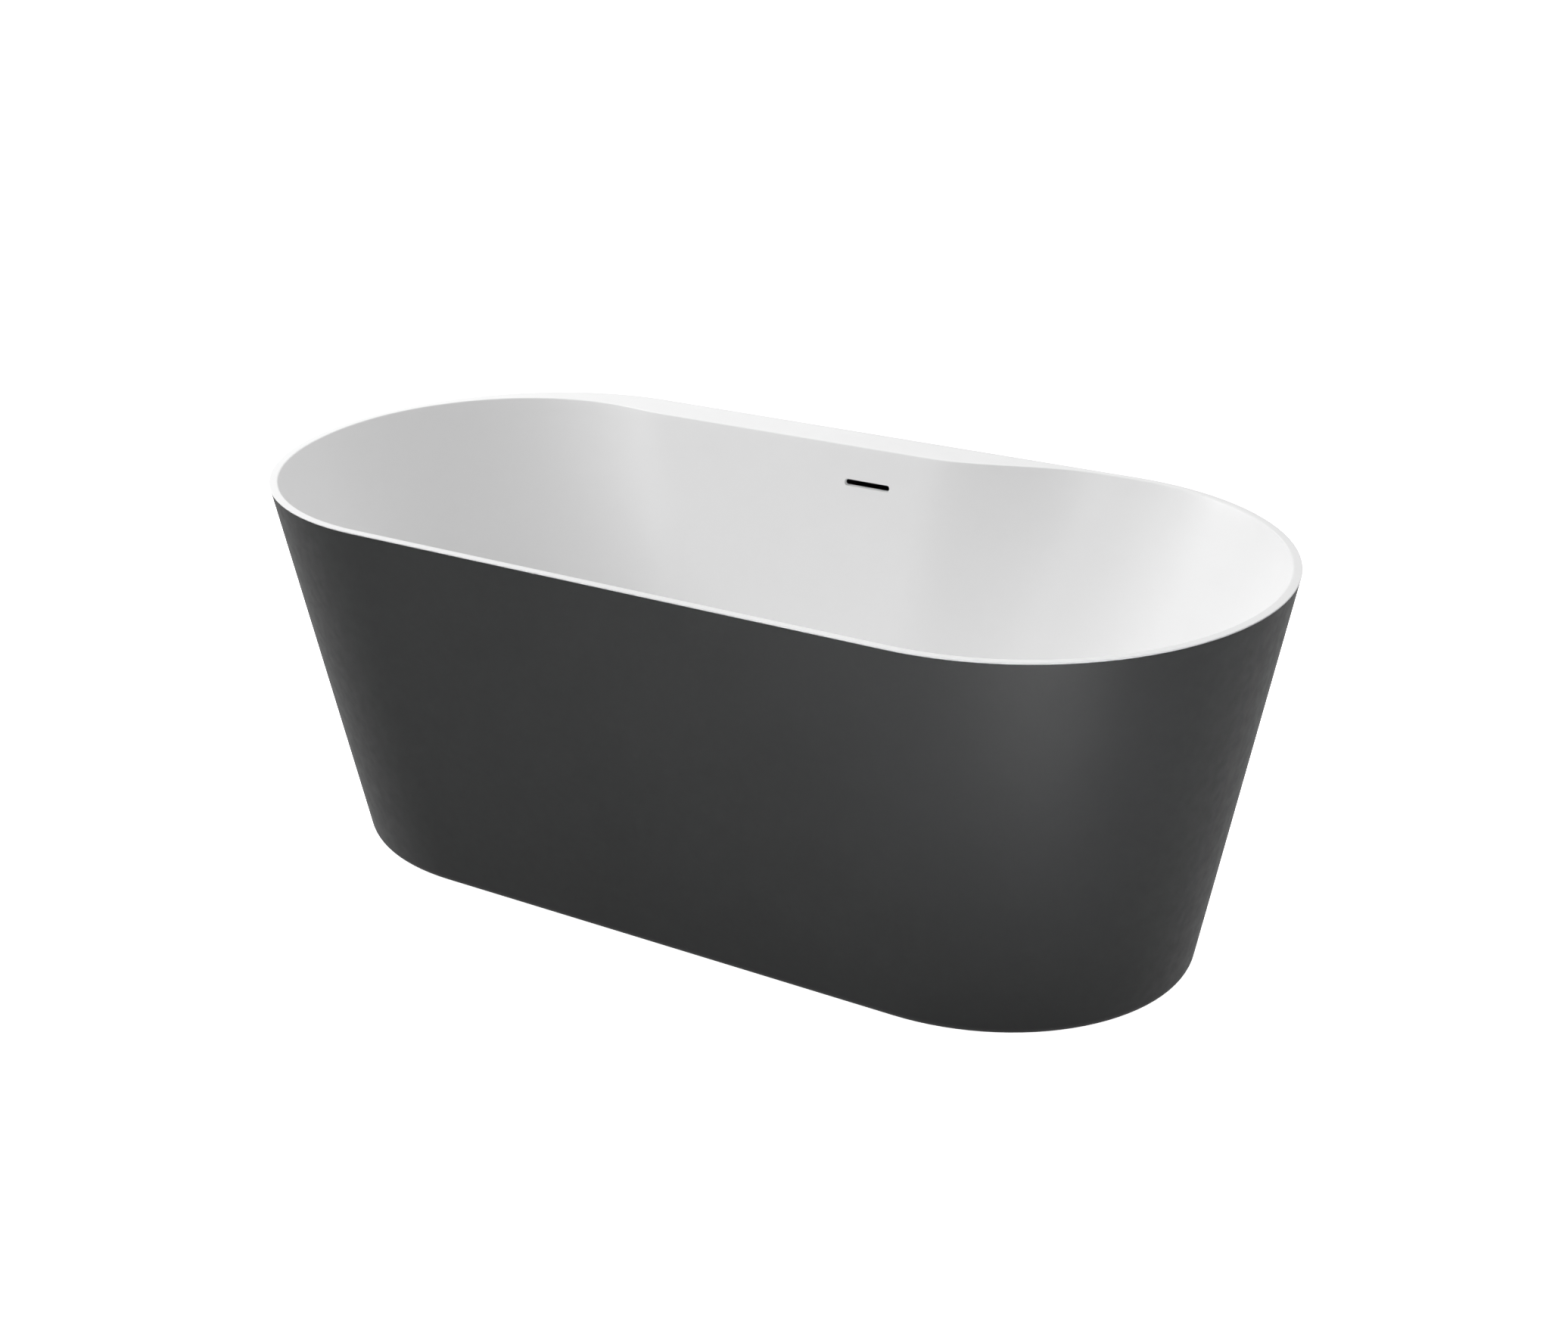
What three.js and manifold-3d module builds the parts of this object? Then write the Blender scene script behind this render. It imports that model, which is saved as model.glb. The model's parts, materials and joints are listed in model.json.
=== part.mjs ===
// A freestanding bathtub: a white basin bonded into a dark tapered outer shell, carried by a steel
// frame on five levelling feet, with its click-clack waste, low trap and slot overflow.
// Millimetres, +Z up, X along the tub, the overflow in the +Y wall. The origin is on the floor,
// under the middle of the tub.
import * as THREE from "three";
import { mergeVertices } from "three/addons/utils/BufferGeometryUtils.js";
import Module from "manifold-3d";

// Driving sizes of the tub.
const length = 1600;
const width = 800;
const height = 600;
const rimEnd = 371; // how far each half-elliptic end reaches along the tub, at the rim
const endTaper = 203; // how much shorter the base is than the rim
const sideTaper = 220; // and how much narrower
const baseEnd = 307.5;
const floorGap = 2.5; // from the floor up to the shell's lower edge
const basinDepth = 430;
const floorInsetX = 200; // basin floor in from the rim, to where wall and floor would meet
const floorInsetY = 175;
const floorEnd = 300;
const floorFillet = 80;
const floorFall = 3; // the basin floor falls this much towards the waste
const skin = 6; // basin wall
const floorThickness = 9;
const shellWall = 4.5;
const shellFoot = 14; // rounding of the shell's lower edge
const shellReturn = 25; // flat return inside that rounding
const rimWidth = 12.5;
const rimLip = 1.5; // white edge above the shell
const ledgeDepth = 61.5; // how much wider the rim is beside the overflow
const ledgeLeft = [-790, -400]; // x where the ledge starts to widen and is full
const ledgeRight = [115, 375]; // x where it starts to narrow and is gone
const ledgeEase = 0.35; // how much the left ramp is eased
const beadDrop = 12; // from the mitre down to the adhesive under the rim
const beadHeight = 30;
const beadWidth = 6;

// Driving sizes of the frame and feet.
const boardThickness = 12;
const boardMargin = 10; // board edge inside the flat of the basin's underside
const tubeWidth = 30;
const tubeHeight = 25;
const tubeWall = 2;
const railY = 88;
const railEnd = 42.5; // rail past the bar's middle
const footInsetX = 271; // foot centre, in from the end of the base
const footInsetY = 90; // and in from its long side
const middleBarOffset = 162; // middle bar, to the left of the waste
const barEnd = 25; // bar past the foot centre
const studRadius = 6;
const studEngagement = 20; // thread above the bar's lower wall
const nutSize = 22; // across the corners
const footNutHeight = 12;
const lockNutHeight = 7;
const collarHeight = 8;
const padRadius = 28;
const padRim = 6;
const padHeight = 16;
const padHub = 12;
const padSocket = 6;
const frameScrewRadius = 4;
const frameScrewHead = 7;
const frameScrewHeadHeight = 6;
const frameScrewBite = 9; // into the board

// Driving sizes of the plumbing.
const plumbingX = 12;
const seatRadius = 37.5; // flat recess in the basin floor round the waste
const seatDepth = 1.5;
const flangeRadius = 35;
const flangeHeight = 2.5;
const throatRadius = 22.5;
const throatWall = 2;
const throatDepth = 42;
const webHeight = 6;
const webWidth = 3;
const webArms = 4;
const cartridgeRadius = 7;
const cartridgeTop = 12; // below the flange's top
const stemRadius = 4;
const capRadius = 31;
const capHeight = 5.5;
const sealThickness = 2;
const gasketThickness = 1.5;
const bodyRadius = 30;
const bodyFlange = 40;
const bodyWall = 3.5;
const boardHole = 45;
const inletDrop = 57; // overflow inlet's axis below the basin's underside
const hoseBore = 14;
const hoseWall = 2.7;
const spigotWall = 2.5;
const dipRadius = 20;
const bodyDrop = 85; // underside of the waste body below the basin's underside
const cupRadius = 34;
const cupWall = 3;
const cupHeight = 66;
const cupLip = 36.5;
const cupLipHeight = 4;
const nutWall = 5.5;
const outletRadius = 20;
const outletDrop = 32; // outlet's axis below the cup's top
const outletReach = 75;
const outletNutLength = 22;

const overflowZ = 543;
const slotLength = 80;
const slotHeight = 10.5;
const trimWall = 1.4;
const trimDepth = 32;
const padLength = 150; // thickened seat behind the overflow
const padTall = 34;
const seatProud = 3.5;
const housingLength = 100;
const housingTall = 30;
const housingDepth = 28;
const housingWall = 3;
const housingFlange = 4;
const screwSpacing = 124;
const screwRadius = 2.5;
const screwHead = 4.5;
const screwBite = 7;
const clampWidth = 9;
const clampWall = 1.2;

const spacerLength = 40;
const spacerTall = 40;
const spacerZ = 320;
const spacerX = 230; // from the middle of the tub
const spacerByHose = 50; // right-hand back spacer, from the overflow hose

const gap = 0.3; // between pieces that touch
const runningGap = 0.3; // round a piece that slides or turns
const roundSteps = 28; // sides of a turned piece
const endSteps = 8; // steps in a quarter of an oval's ends
const sideSteps = 14; // steps along a straight side

// Levels and places that follow from them.
const rimStraight = length - 2 * rimEnd; // straight stretch of each long side
const baseLength = length - endTaper;
const baseWidth = width - sideTaper;
const floorLength = length - 2 * floorInsetX;
const floorWidth = width - 2 * floorInsetY;
const baseStraight = baseLength - 2 * baseEnd;
const floorStraight = floorLength - 2 * floorEnd;
const floorZ = height - basinDepth;
const undersideZ = floorZ - floorThickness;
const boardTop = undersideZ - gap;
const boardBottom = boardTop - boardThickness;
const railTop = boardBottom - gap;
const railBottom = railTop - tubeHeight;
const barTop = railBottom - gap;
const barBottom = barTop - tubeHeight;
const footNutTop = barBottom - gap;
const lockNutTop = footNutTop - footNutHeight - gap;
const collarTop = lockNutTop - lockNutHeight - gap;
const footX = baseLength / 2 - footInsetX;
const footY = baseWidth / 2 - footInsetY;
const middleBarX = plumbingX - middleBarOffset;
const seatZ = floorZ - seatDepth;
const flangeBottom = seatZ + gap + gasketThickness + gap;
const flangeTop = flangeBottom + flangeHeight;
const capBottom = flangeTop + gap + sealThickness + gap;
const hoseRadius = hoseBore + hoseWall;

const wasm = await Module();
wasm.setup();
const tub = new THREE.Group();

// ---- Materials -------------------------------------------------------------------------------

const finishes = {
  white: { color: 0xf2f2f0, roughness: 0.35, metalness: 0 },
  anthracite: { color: 0x37383a, roughness: 0.6, metalness: 0 },
  adhesive: { color: 0xdcd8cc, roughness: 0.6, metalness: 0 },
  board: { color: 0xb98f5c, roughness: 0.8, metalness: 0 },
  foam: { color: 0xd9cf9f, roughness: 0.9, metalness: 0 },
  steel: { color: 0xa9adb0, roughness: 0.45, metalness: 1 },
  chrome: { color: 0xe6e8ea, roughness: 0.08, metalness: 1 },
  plastic: { color: 0xe4e4e0, roughness: 0.5, metalness: 0 },
  blackPlastic: { color: 0x1d1d1f, roughness: 0.55, metalness: 0 },
  rubber: { color: 0x161616, roughness: 0.85, metalness: 0 },
};

function addMesh(name, geometry, finish) {
  const mesh = new THREE.Mesh(geometry, new THREE.MeshStandardMaterial(finishes[finish]));
  mesh.name = name;
  tub.add(mesh);
  return mesh;
}

// ---- Solids ----------------------------------------------------------------------------------

function toSolid(geometry) {
  const bare = geometry.clone();
  bare.deleteAttribute("normal");
  bare.deleteAttribute("uv");
  const merged = mergeVertices(bare, 1e-4);
  return new wasm.Manifold(
    new wasm.Mesh({
      numProp: 3,
      vertProperties: new Float32Array(merged.attributes.position.array),
      triVerts: new Uint32Array(merged.index.array),
    }),
  );
}

function toGeometry(solid) {
  const mesh = solid.getMesh();
  const geometry = new THREE.BufferGeometry();
  geometry.setAttribute("position", new THREE.BufferAttribute(mesh.vertProperties, 3));
  geometry.setIndex(new THREE.BufferAttribute(mesh.triVerts, 1));
  return geometry;
}

// Joins the shapes in one list and cuts the shapes in the other out of them.
function carve(joined, cut = []) {
  const whole = joined.map(toSolid).reduce((a, b) => a.add(b));
  return toGeometry(cut.map(toSolid).reduce((a, b) => a.subtract(b), whole));
}

// A closed skin through rings of points. Rings run anticlockwise seen from above and go up the
// inside of the piece, over its top and down its outside. Without caps the last ring meets the first.
function loft(rings, startCap, endCap) {
  const count = rings[0].length;
  const points = rings.flat();
  const faces = [];
  const bands = startCap ? rings.length - 1 : rings.length;
  for (let i = 0; i < bands; i++) {
    const here = i * count;
    const next = ((i + 1) % rings.length) * count;
    for (let j = 0; j < count; j++) {
      const k = (j + 1) % count;
      faces.push(here + j, next + j, next + k, here + j, next + k, here + k);
    }
  }
  if (startCap) {
    const last = (rings.length - 1) * count;
    const start = points.push(startCap) - 1;
    const end = points.push(endCap) - 1;
    for (let j = 0; j < count; j++) {
      const k = (j + 1) % count;
      faces.push(start, j, k, end, last + k, last + j);
    }
  }
  const geometry = new THREE.BufferGeometry().setFromPoints(points);
  geometry.setIndex(faces);
  return geometry;
}

// A turned piece: profile points are [radius, z], closed on themselves unless they end on the axis.
function turned(profile, segments = roundSteps) {
  const points = profile.map(([r, z]) => new THREE.Vector2(r, z));
  const onAxis = profile[0][0] === 0 && profile.at(-1)[0] === 0;
  if (!onAxis) points.push(points[0].clone());
  return new THREE.LatheGeometry(points, segments).rotateX(Math.PI / 2);
}

function tube(inner, outer, bottom, top, segments = roundSteps) {
  return turned([[inner, bottom], [outer, bottom], [outer, top], [inner, top]], segments);
}

function rod(radius, bottom, top, segments = roundSteps) {
  return turned([[0, bottom], [radius, bottom], [radius, top], [0, top]], segments);
}

function box(sizeX, sizeY, sizeZ, x, y, z) {
  return new THREE.BoxGeometry(sizeX, sizeY, sizeZ).translate(x, y, z);
}

// Turns a piece that was made along Z so that it lies along +X or +Y.
function alongX(geometry) {
  return geometry.rotateY(Math.PI / 2);
}

function alongY(geometry) {
  return geometry.rotateX(-Math.PI / 2);
}

function hexNut(bore, bottom, top) {
  const shape = new THREE.Shape();
  for (let i = 0; i < 6; i++) {
    const corner = new THREE.Vector2(nutSize / 2, 0).rotateAround(new THREE.Vector2(), (i * Math.PI) / 3);
    if (i === 0) shape.moveTo(corner.x, corner.y);
    else shape.lineTo(corner.x, corner.y);
  }
  shape.closePath();
  if (bore) shape.holes.push(new THREE.Path().absarc(0, 0, bore, 0, 2 * Math.PI, true));
  return new THREE.ExtrudeGeometry(shape, { depth: top - bottom, bevelEnabled: false, curveSegments: 8 })
    .translate(0, 0, bottom);
}

// A slot-shaped outline with round ends, centred on the origin.
function slotShape(long, tall, Kind = THREE.Shape) {
  const shape = new Kind();
  const reach = (long - tall) / 2;
  shape.absarc(reach, 0, tall / 2, -Math.PI / 2, Math.PI / 2, false);
  shape.absarc(-reach, 0, tall / 2, Math.PI / 2, (3 * Math.PI) / 2, false);
  shape.closePath();
  return shape;
}

// A slot-shaped bar or sleeve through the back wall, at the overflow, from y = from to y = to.
function slotBar(long, tall, from, to, hole) {
  const shape = slotShape(long, tall);
  if (hole) shape.holes.push(slotShape(hole[0], hole[1], THREE.Path));
  return new THREE.ExtrudeGeometry(shape, { depth: to - from, bevelEnabled: false, curveSegments: 8 })
    .rotateX(Math.PI / 2)
    .translate(plumbingX, to, overflowZ);
}

// ---- Ovals of the tub ------------------------------------------------------------------------

// Half-elliptic ends joined by straight sides. Every oval has the same number of points.
function oval(halfLength, halfWidth, halfStraight) {
  const end = halfLength - halfStraight;
  const half = [];
  for (let i = 0; i < 2 * endSteps; i++) {
    const angle = (Math.PI / 2) * (i / endSteps - 1);
    half.push(new THREE.Vector3(halfStraight + end * Math.cos(angle), halfWidth * Math.sin(angle)));
  }
  for (let i = 0; i < sideSteps; i++) {
    half.push(new THREE.Vector3(halfStraight * (1 - (2 * i) / sideSteps), halfWidth));
  }
  return half.concat(half.map((p) => new THREE.Vector3(-p.x, -p.y)));
}

function atHeight(ring, z) {
  return ring.map((p) => new THREE.Vector3(p.x, p.y, z));
}

function between(ringA, ringB, share) {
  return ringA.map((p, i) => p.clone().lerp(ringB[i], share));
}

// Rings of a rounded corner that leaves ringA, is drawn to corner and ends at ringB.
function rounded(ringA, corner, ringB, steps) {
  const rings = [];
  for (let i = 0; i <= steps; i++) {
    const share = i / steps;
    rings.push(between(between(ringA, corner, share), between(corner, ringB, share), share));
  }
  return rings;
}

const rimOval = oval(length / 2, width / 2, rimStraight / 2);
const rimNormals = rimOval.map((p) => {
  const past = Math.max(0, Math.abs(p.x) - rimStraight / 2) * Math.sign(p.x);
  return new THREE.Vector3(past / (length / 2 - rimStraight / 2) ** 2, p.y / (width / 2) ** 2).normalize();
});

// How much wider than its usual width the rim is at x, on the overflow side.
function ledge(x) {
  const rise = THREE.MathUtils.clamp((x - ledgeLeft[0]) / (ledgeLeft[1] - ledgeLeft[0]), 0, 1);
  const eased = THREE.MathUtils.lerp(rise, THREE.MathUtils.smoothstep(rise, 0, 1), ledgeEase);
  return ledgeDepth * eased * (1 - THREE.MathUtils.smoothstep(x, ledgeRight[0], ledgeRight[1]));
}

// The rim's inner edge, moved outwards by out.
function rimInner(out) {
  return rimOval.map((p, i) => {
    const inset = rimWidth + (p.y > 0 ? ledge(p.x) : 0) - out;
    return p.clone().addScaledVector(rimNormals[i], -inset);
  });
}

// The shell's wall at height z, inset from its outer face.
function shellRing(z, inset) {
  const share = (z - floorGap) / (height - floorGap);
  const halfLength = THREE.MathUtils.lerp(baseLength, length, share) / 2;
  const halfWidth = THREE.MathUtils.lerp(baseWidth, width, share) / 2;
  const halfStraight = THREE.MathUtils.lerp(baseStraight, rimStraight, share) / 2;
  return atHeight(oval(halfLength - inset, halfWidth - inset, halfStraight), z);
}

function baseRing(z, inset) {
  return atHeight(oval(baseLength / 2 - inset, baseWidth / 2 - inset, baseStraight / 2), z);
}

function floorRing(z, inset) {
  return atHeight(oval(floorLength / 2 - inset, floorWidth / 2 - inset, floorStraight / 2), z);
}

// The ring of a wall that runs from top down to corner, at a distance above the corner.
function aboveCorner(top, corner, distance) {
  return corner.map((p, i) => p.clone().addScaledVector(top[i].clone().sub(p).normalize(), distance));
}

// ---- The basin -------------------------------------------------------------------------------

const mitreInset = rimWidth - skin - 1;
const mitreZ = height - rimLip - mitreInset;
const innerTop = atHeight(rimInner(0), height);
const innerCorner = floorRing(floorZ + floorFall, 0);
const skinTop = atHeight(rimInner(skin), mitreZ);
const skinCorner = floorRing(undersideZ, -skin);

// The basin's outer face at height z, on the straight part of its wall.
function skinRing(z) {
  return between(skinCorner, skinTop, (z - undersideZ) / (mitreZ - undersideZ));
}

const overflowIndex = rimOval.findIndex((p) => p.y > 0 && Math.abs(p.x - plumbingX) < rimStraight / sideSteps / 2);

// y of the basin's outer face in the overflow wall, and of the shell's inner face, at height z.
function skinBackY(z) {
  return skinRing(z)[overflowIndex].y;
}

function shellBackY(z) {
  return shellRing(z, shellWall)[overflowIndex].y;
}

// The rings of the basin's inner face, from the floor up to the rim.
function innerRings() {
  const filletTop = aboveCorner(innerTop, innerCorner, floorFillet);
  return [
    ...rounded(floorRing(floorZ + floorFall, floorFillet), innerCorner, filletTop, 4),
    ...[0.35, 0.7].map((share) => between(filletTop, innerTop, share)),
    innerTop,
  ];
}

function makeInterior() {
  return loft(innerRings().reverse(), new THREE.Vector3(0, 0, height), new THREE.Vector3(0, 0, floorZ));
}

function makeBasinBlank() {
  const skinFilletTop = aboveCorner(skinTop, skinCorner, floorFillet);
  const skinFillet = rounded(skinFilletTop, skinCorner, floorRing(undersideZ, floorFillet), 3);
  return loft(
    [
      ...innerRings(),
      atHeight(rimOval, height),
      atHeight(rimOval, height - rimLip),
      atHeight(oval(length / 2 - mitreInset, width / 2 - mitreInset, rimStraight / 2), mitreZ),
      skinTop,
      ...[0.3, 0.65].map((share) => between(skinTop, skinFilletTop, share)),
      ...skinFillet,
    ],
    new THREE.Vector3(0, 0, floorZ),
    new THREE.Vector3(0, 0, undersideZ),
  );
}

const seatY = skinBackY(overflowZ + padTall / 2) + seatProud;
const trimFront = skinBackY(overflowZ + slotHeight / 2) - skin + gap;

function atScrews(make) {
  return [-1, 1].map((side) => make().translate(plumbingX + (side * screwSpacing) / 2, 0, overflowZ));
}

function makeBasin() {
  const holeLong = slotLength + 2 * gap;
  const holeTall = slotHeight + 2 * gap;
  const padStart = skinBackY(overflowZ - padTall / 2) - skin / 2;
  const pad = carve([slotBar(padLength, padTall, padStart, seatY)], [makeInterior()]);
  return carve(
    [makeBasinBlank(), pad],
    [
      slotBar(holeLong, holeTall, trimFront - 3 * skin, seatY + 1),
      ...atScrews(() => alongY(rod(screwRadius + gap, -seatY - 1, -seatY + screwBite, 12)).rotateX(Math.PI)),
      rod(seatRadius, seatZ, floorZ + 2 * floorFall).translate(plumbingX, 0, 0),
      rod(throatRadius + throatWall + gap, undersideZ - 1, floorZ).translate(plumbingX, 0, 0),
    ],
  );
}

// ---- The shell and what bonds it to the basin ---------------------------------------------------

function makeShell() {
  const outerTop = shellRing(height - rimLip - 3 * gap, 0);
  const innerTopRing = atHeight(shellRing(height, shellWall), outerTop[0].z - shellWall);
  const outerCorner = baseRing(floorGap, 0);
  const innerCornerRing = baseRing(floorGap + shellWall, shellWall);
  const returnInset = shellFoot + shellReturn;
  const innerFoot = rounded(
    baseRing(floorGap + shellWall, shellFoot),
    innerCornerRing,
    aboveCorner(innerTopRing, innerCornerRing, shellFoot - shellWall),
    3,
  );
  const outerFoot = rounded(
    aboveCorner(outerTop, outerCorner, shellFoot),
    outerCorner,
    baseRing(floorGap, shellFoot),
    3,
  );
  return loft([
    baseRing(floorGap + shellWall, returnInset),
    ...innerFoot,
    innerTopRing,
    outerTop,
    ...outerFoot,
    baseRing(floorGap, returnInset),
  ]);
}

// The bead fills the wedge between the two skins under the rim, up to its own width.
function makeBead() {
  const top = mitreZ - beadDrop;
  const bottom = top - beadHeight;
  const outer = [bottom, top].map((z) => shellRing(z, shellWall + 2 * gap));
  const inner = [bottom, top].map((z, level) =>
    outer[level].map((p, i) => {
      const skinPoint = skinRing(z)[i];
      const room = skinPoint.distanceTo(p) - 3 * gap;
      return p.clone().lerp(skinPoint, Math.min(beadWidth, room) / skinPoint.distanceTo(p));
    }),
  );
  return loft([inner[0], inner[1], outer[1], outer[0]]);
}

// A rigid foam block, bonded between basin and shell, cut to both of their slopes.
function makeSpacer(side) {
  const back = side > 0;
  const low = spacerZ - spacerTall / 2;
  const high = spacerZ + spacerTall / 2;
  const frontIndex = overflowIndex + rimOval.length / 2;
  const index = back ? overflowIndex : frontIndex;
  const skinY = (z) => Math.abs(skinRing(z)[index].y) + 3 * gap;
  const shellY = (z) => Math.abs(shellRing(z, shellWall)[index].y) - 3 * gap;
  const shape = new THREE.Shape();
  shape.moveTo(skinY(low), low);
  shape.lineTo(shellY(low), low);
  shape.lineTo(shellY(high), high);
  shape.lineTo(skinY(high), high);
  shape.closePath();
  return new THREE.ExtrudeGeometry(shape, { depth: spacerLength, bevelEnabled: false })
    .rotateX(Math.PI / 2)
    .rotateZ((side * Math.PI) / 2)
    .translate((side * -spacerLength) / 2, 0, 0);
}

const spacerPlaces = {
  spacer_front_left: [-spacerX, -1],
  spacer_front_right: [spacerX, -1],
  spacer_back_left: [-spacerX, 1],
  spacer_back_right: [plumbingX + spacerByHose, 1],
};

// ---- Base board and frame ----------------------------------------------------------------------

const crossings = {
  back_left: [-footX, railY],
  back_right: [footX, railY],
  front_left: [-footX, -railY],
  front_right: [footX, -railY],
};

function screwHoles(bottom, top) {
  return Object.values(crossings).map(([x, y]) =>
    rod(frameScrewRadius + gap, bottom, top, 12).translate(x, y, 0),
  );
}

function makeBoard() {
  const shape = new THREE.Shape(
    oval(
      floorLength / 2 - floorFillet - boardMargin,
      floorWidth / 2 - floorFillet - boardMargin,
      floorStraight / 2,
    ),
  );
  const hole = new THREE.Path().absarc(plumbingX, 0, boardHole, 0, 2 * Math.PI, true);
  shape.holes.push(hole);
  const board = new THREE.ExtrudeGeometry(shape, {
    depth: boardThickness,
    bevelEnabled: false,
    curveSegments: 14,
  }).translate(0, 0, boardBottom);
  return carve([board], screwHoles(boardBottom - 1, boardBottom + frameScrewBite + 1));
}

// A rectangular steel tube along X, centred on x = 0 and y = 0, with its underside at z = bottom.
function boxTube(long, bottom) {
  const shape = new THREE.Shape();
  shape.moveTo(-tubeHeight / 2, -tubeWidth / 2);
  shape.lineTo(tubeHeight / 2, -tubeWidth / 2);
  shape.lineTo(tubeHeight / 2, tubeWidth / 2);
  shape.lineTo(-tubeHeight / 2, tubeWidth / 2);
  shape.closePath();
  const hollow = new THREE.Path();
  const halfTall = tubeHeight / 2 - tubeWall;
  const halfWide = tubeWidth / 2 - tubeWall;
  hollow.moveTo(-halfTall, -halfWide);
  hollow.lineTo(-halfTall, halfWide);
  hollow.lineTo(halfTall, halfWide);
  hollow.lineTo(halfTall, -halfWide);
  hollow.closePath();
  shape.holes.push(hollow);
  return new THREE.ExtrudeGeometry(shape, { depth: long, bevelEnabled: false })
    .translate(0, 0, -long / 2)
    .rotateY(Math.PI / 2)
    .translate(0, 0, bottom + tubeHeight / 2);
}

function makeRail(side) {
  const tubeBlank = boxTube(2 * (footX + railEnd), railBottom).translate(0, side * railY, 0);
  return carve([tubeBlank], screwHoles(railBottom - 1, railTop + 1));
}

// A bar across the tub with holes for its screws and for the studs of its feet.
function makeBar(x, long, feetY) {
  const tubeBlank = boxTube(long, barBottom).rotateZ(Math.PI / 2).translate(x, 0, 0);
  const studHoles = feetY.map((y) =>
    rod(studRadius + 2 * runningGap, barBottom - 1, barBottom + tubeHeight / 2, 16).translate(x, y, 0),
  );
  return carve([tubeBlank], [...studHoles, ...screwHoles(barBottom - 1, barTop + 1)]);
}

function makeFrameScrew() {
  const top = boardBottom + frameScrewBite;
  const seat = barBottom - gap;
  return turned(
    [
      [0, seat - frameScrewHeadHeight],
      [frameScrewHead, seat - frameScrewHeadHeight],
      [frameScrewHead, seat],
      [frameScrewRadius, seat],
      [frameScrewRadius, top - frameScrewRadius],
      [0, top],
    ],
    12,
  );
}

// ---- Levelling feet --------------------------------------------------------------------------

const feet = {
  back_left: [-footX, footY],
  back_right: [footX, footY],
  front_left: [-footX, -footY],
  front_right: [footX, -footY],
  middle: [middleBarX, 0],
};

function makePad() {
  return turned(
    [
      [0, 0],
      [padRadius - 2, 0],
      [padRadius, 2],
      [padRadius, padRim],
      [padHub, padHeight - 2],
      [padHub - 2, padHeight],
      [studRadius + runningGap, padHeight],
      [studRadius + runningGap, padSocket],
      [0, padSocket],
    ],
    24,
  );
}

function makeStud() {
  const top = barBottom + studEngagement;
  const thread = turned(
    [
      [0, padSocket + runningGap],
      [studRadius, padSocket + runningGap],
      [studRadius, top - 2],
      [studRadius - 2, top],
      [0, top],
    ],
    24,
  );
  return carve([thread, hexNut(0, collarTop - collarHeight, collarTop)]);
}

// ---- Waste and plug --------------------------------------------------------------------------

function makeWasteFlange() {
  const bottom = flangeTop - throatDepth;
  const outer = throatRadius + throatWall;
  const dish = turned(
    [
      [throatRadius, bottom],
      [outer, bottom],
      [outer, flangeBottom],
      [flangeRadius, flangeBottom],
      [flangeRadius, flangeTop - 1],
      [flangeRadius - 1.5, flangeTop],
      [throatRadius + 3.5, flangeTop],
      [throatRadius, flangeTop - 5],
    ],
  );
  const hub = cartridgeRadius + runningGap + throatWall;
  const arms = [];
  for (let i = 0; i < webArms; i++) {
    const reach = outer - hub;
    const arm = box(reach, webWidth, webHeight, hub + reach / 2 - 1, 0, bottom + webHeight / 2);
    arms.push(arm.rotateZ(((i + 0.5) * 2 * Math.PI) / webArms));
  }
  const ring = tube(cartridgeRadius + runningGap, hub, bottom, bottom + webHeight, 20);
  return carve([dish, ring, ...arms]);
}

function makeCartridge() {
  const hubTop = flangeTop - throatDepth + webHeight;
  const top = flangeTop - cartridgeTop;
  const foot = flangeTop - throatDepth - 2;
  return turned(
    [
      [0, foot],
      [cartridgeRadius, foot],
      [cartridgeRadius, hubTop + gap],
      [cartridgeRadius + throatWall, hubTop + gap],
      [cartridgeRadius + throatWall, hubTop + 2],
      [cartridgeRadius, hubTop + 2],
      [cartridgeRadius, top],
      [stemRadius + runningGap, top],
      [stemRadius + runningGap, foot + 6],
      [0, foot + 6],
    ],
    16,
  );
}

const stemTop = capBottom + 1.5;

function makeCap() {
  const boss = 2 * stemRadius;
  const top = capBottom + capHeight;
  return turned(
    [
      [0, stemTop + gap],
      [stemRadius + gap, stemTop + gap],
      [stemRadius + gap, capBottom - 6],
      [boss, capBottom - 6],
      [boss, capBottom],
      [capRadius, capBottom],
      [capRadius, capBottom + 1.5],
      [capRadius - 2.5, top - 1.5],
      [capRadius / 2, top - 0.4],
      [0, top],
    ],
  );
}

// The body hangs under the basin: a wide top flange, the threaded bore for the flange's tube, the
// overflow inlet on its +Y side and a dip tube that reaches down into the trap's cup.
const bodyTop = undersideZ - gap - sealThickness - gap;
const bodyBottom = undersideZ - bodyDrop;
const inletZ = undersideZ - inletDrop;
const inletReach = bodyRadius + 32;
const cupTop = bodyBottom - gap - gasketThickness - gap;
const cupBottom = cupTop - cupHeight;
const outletZ = cupTop - outletDrop;

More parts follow.
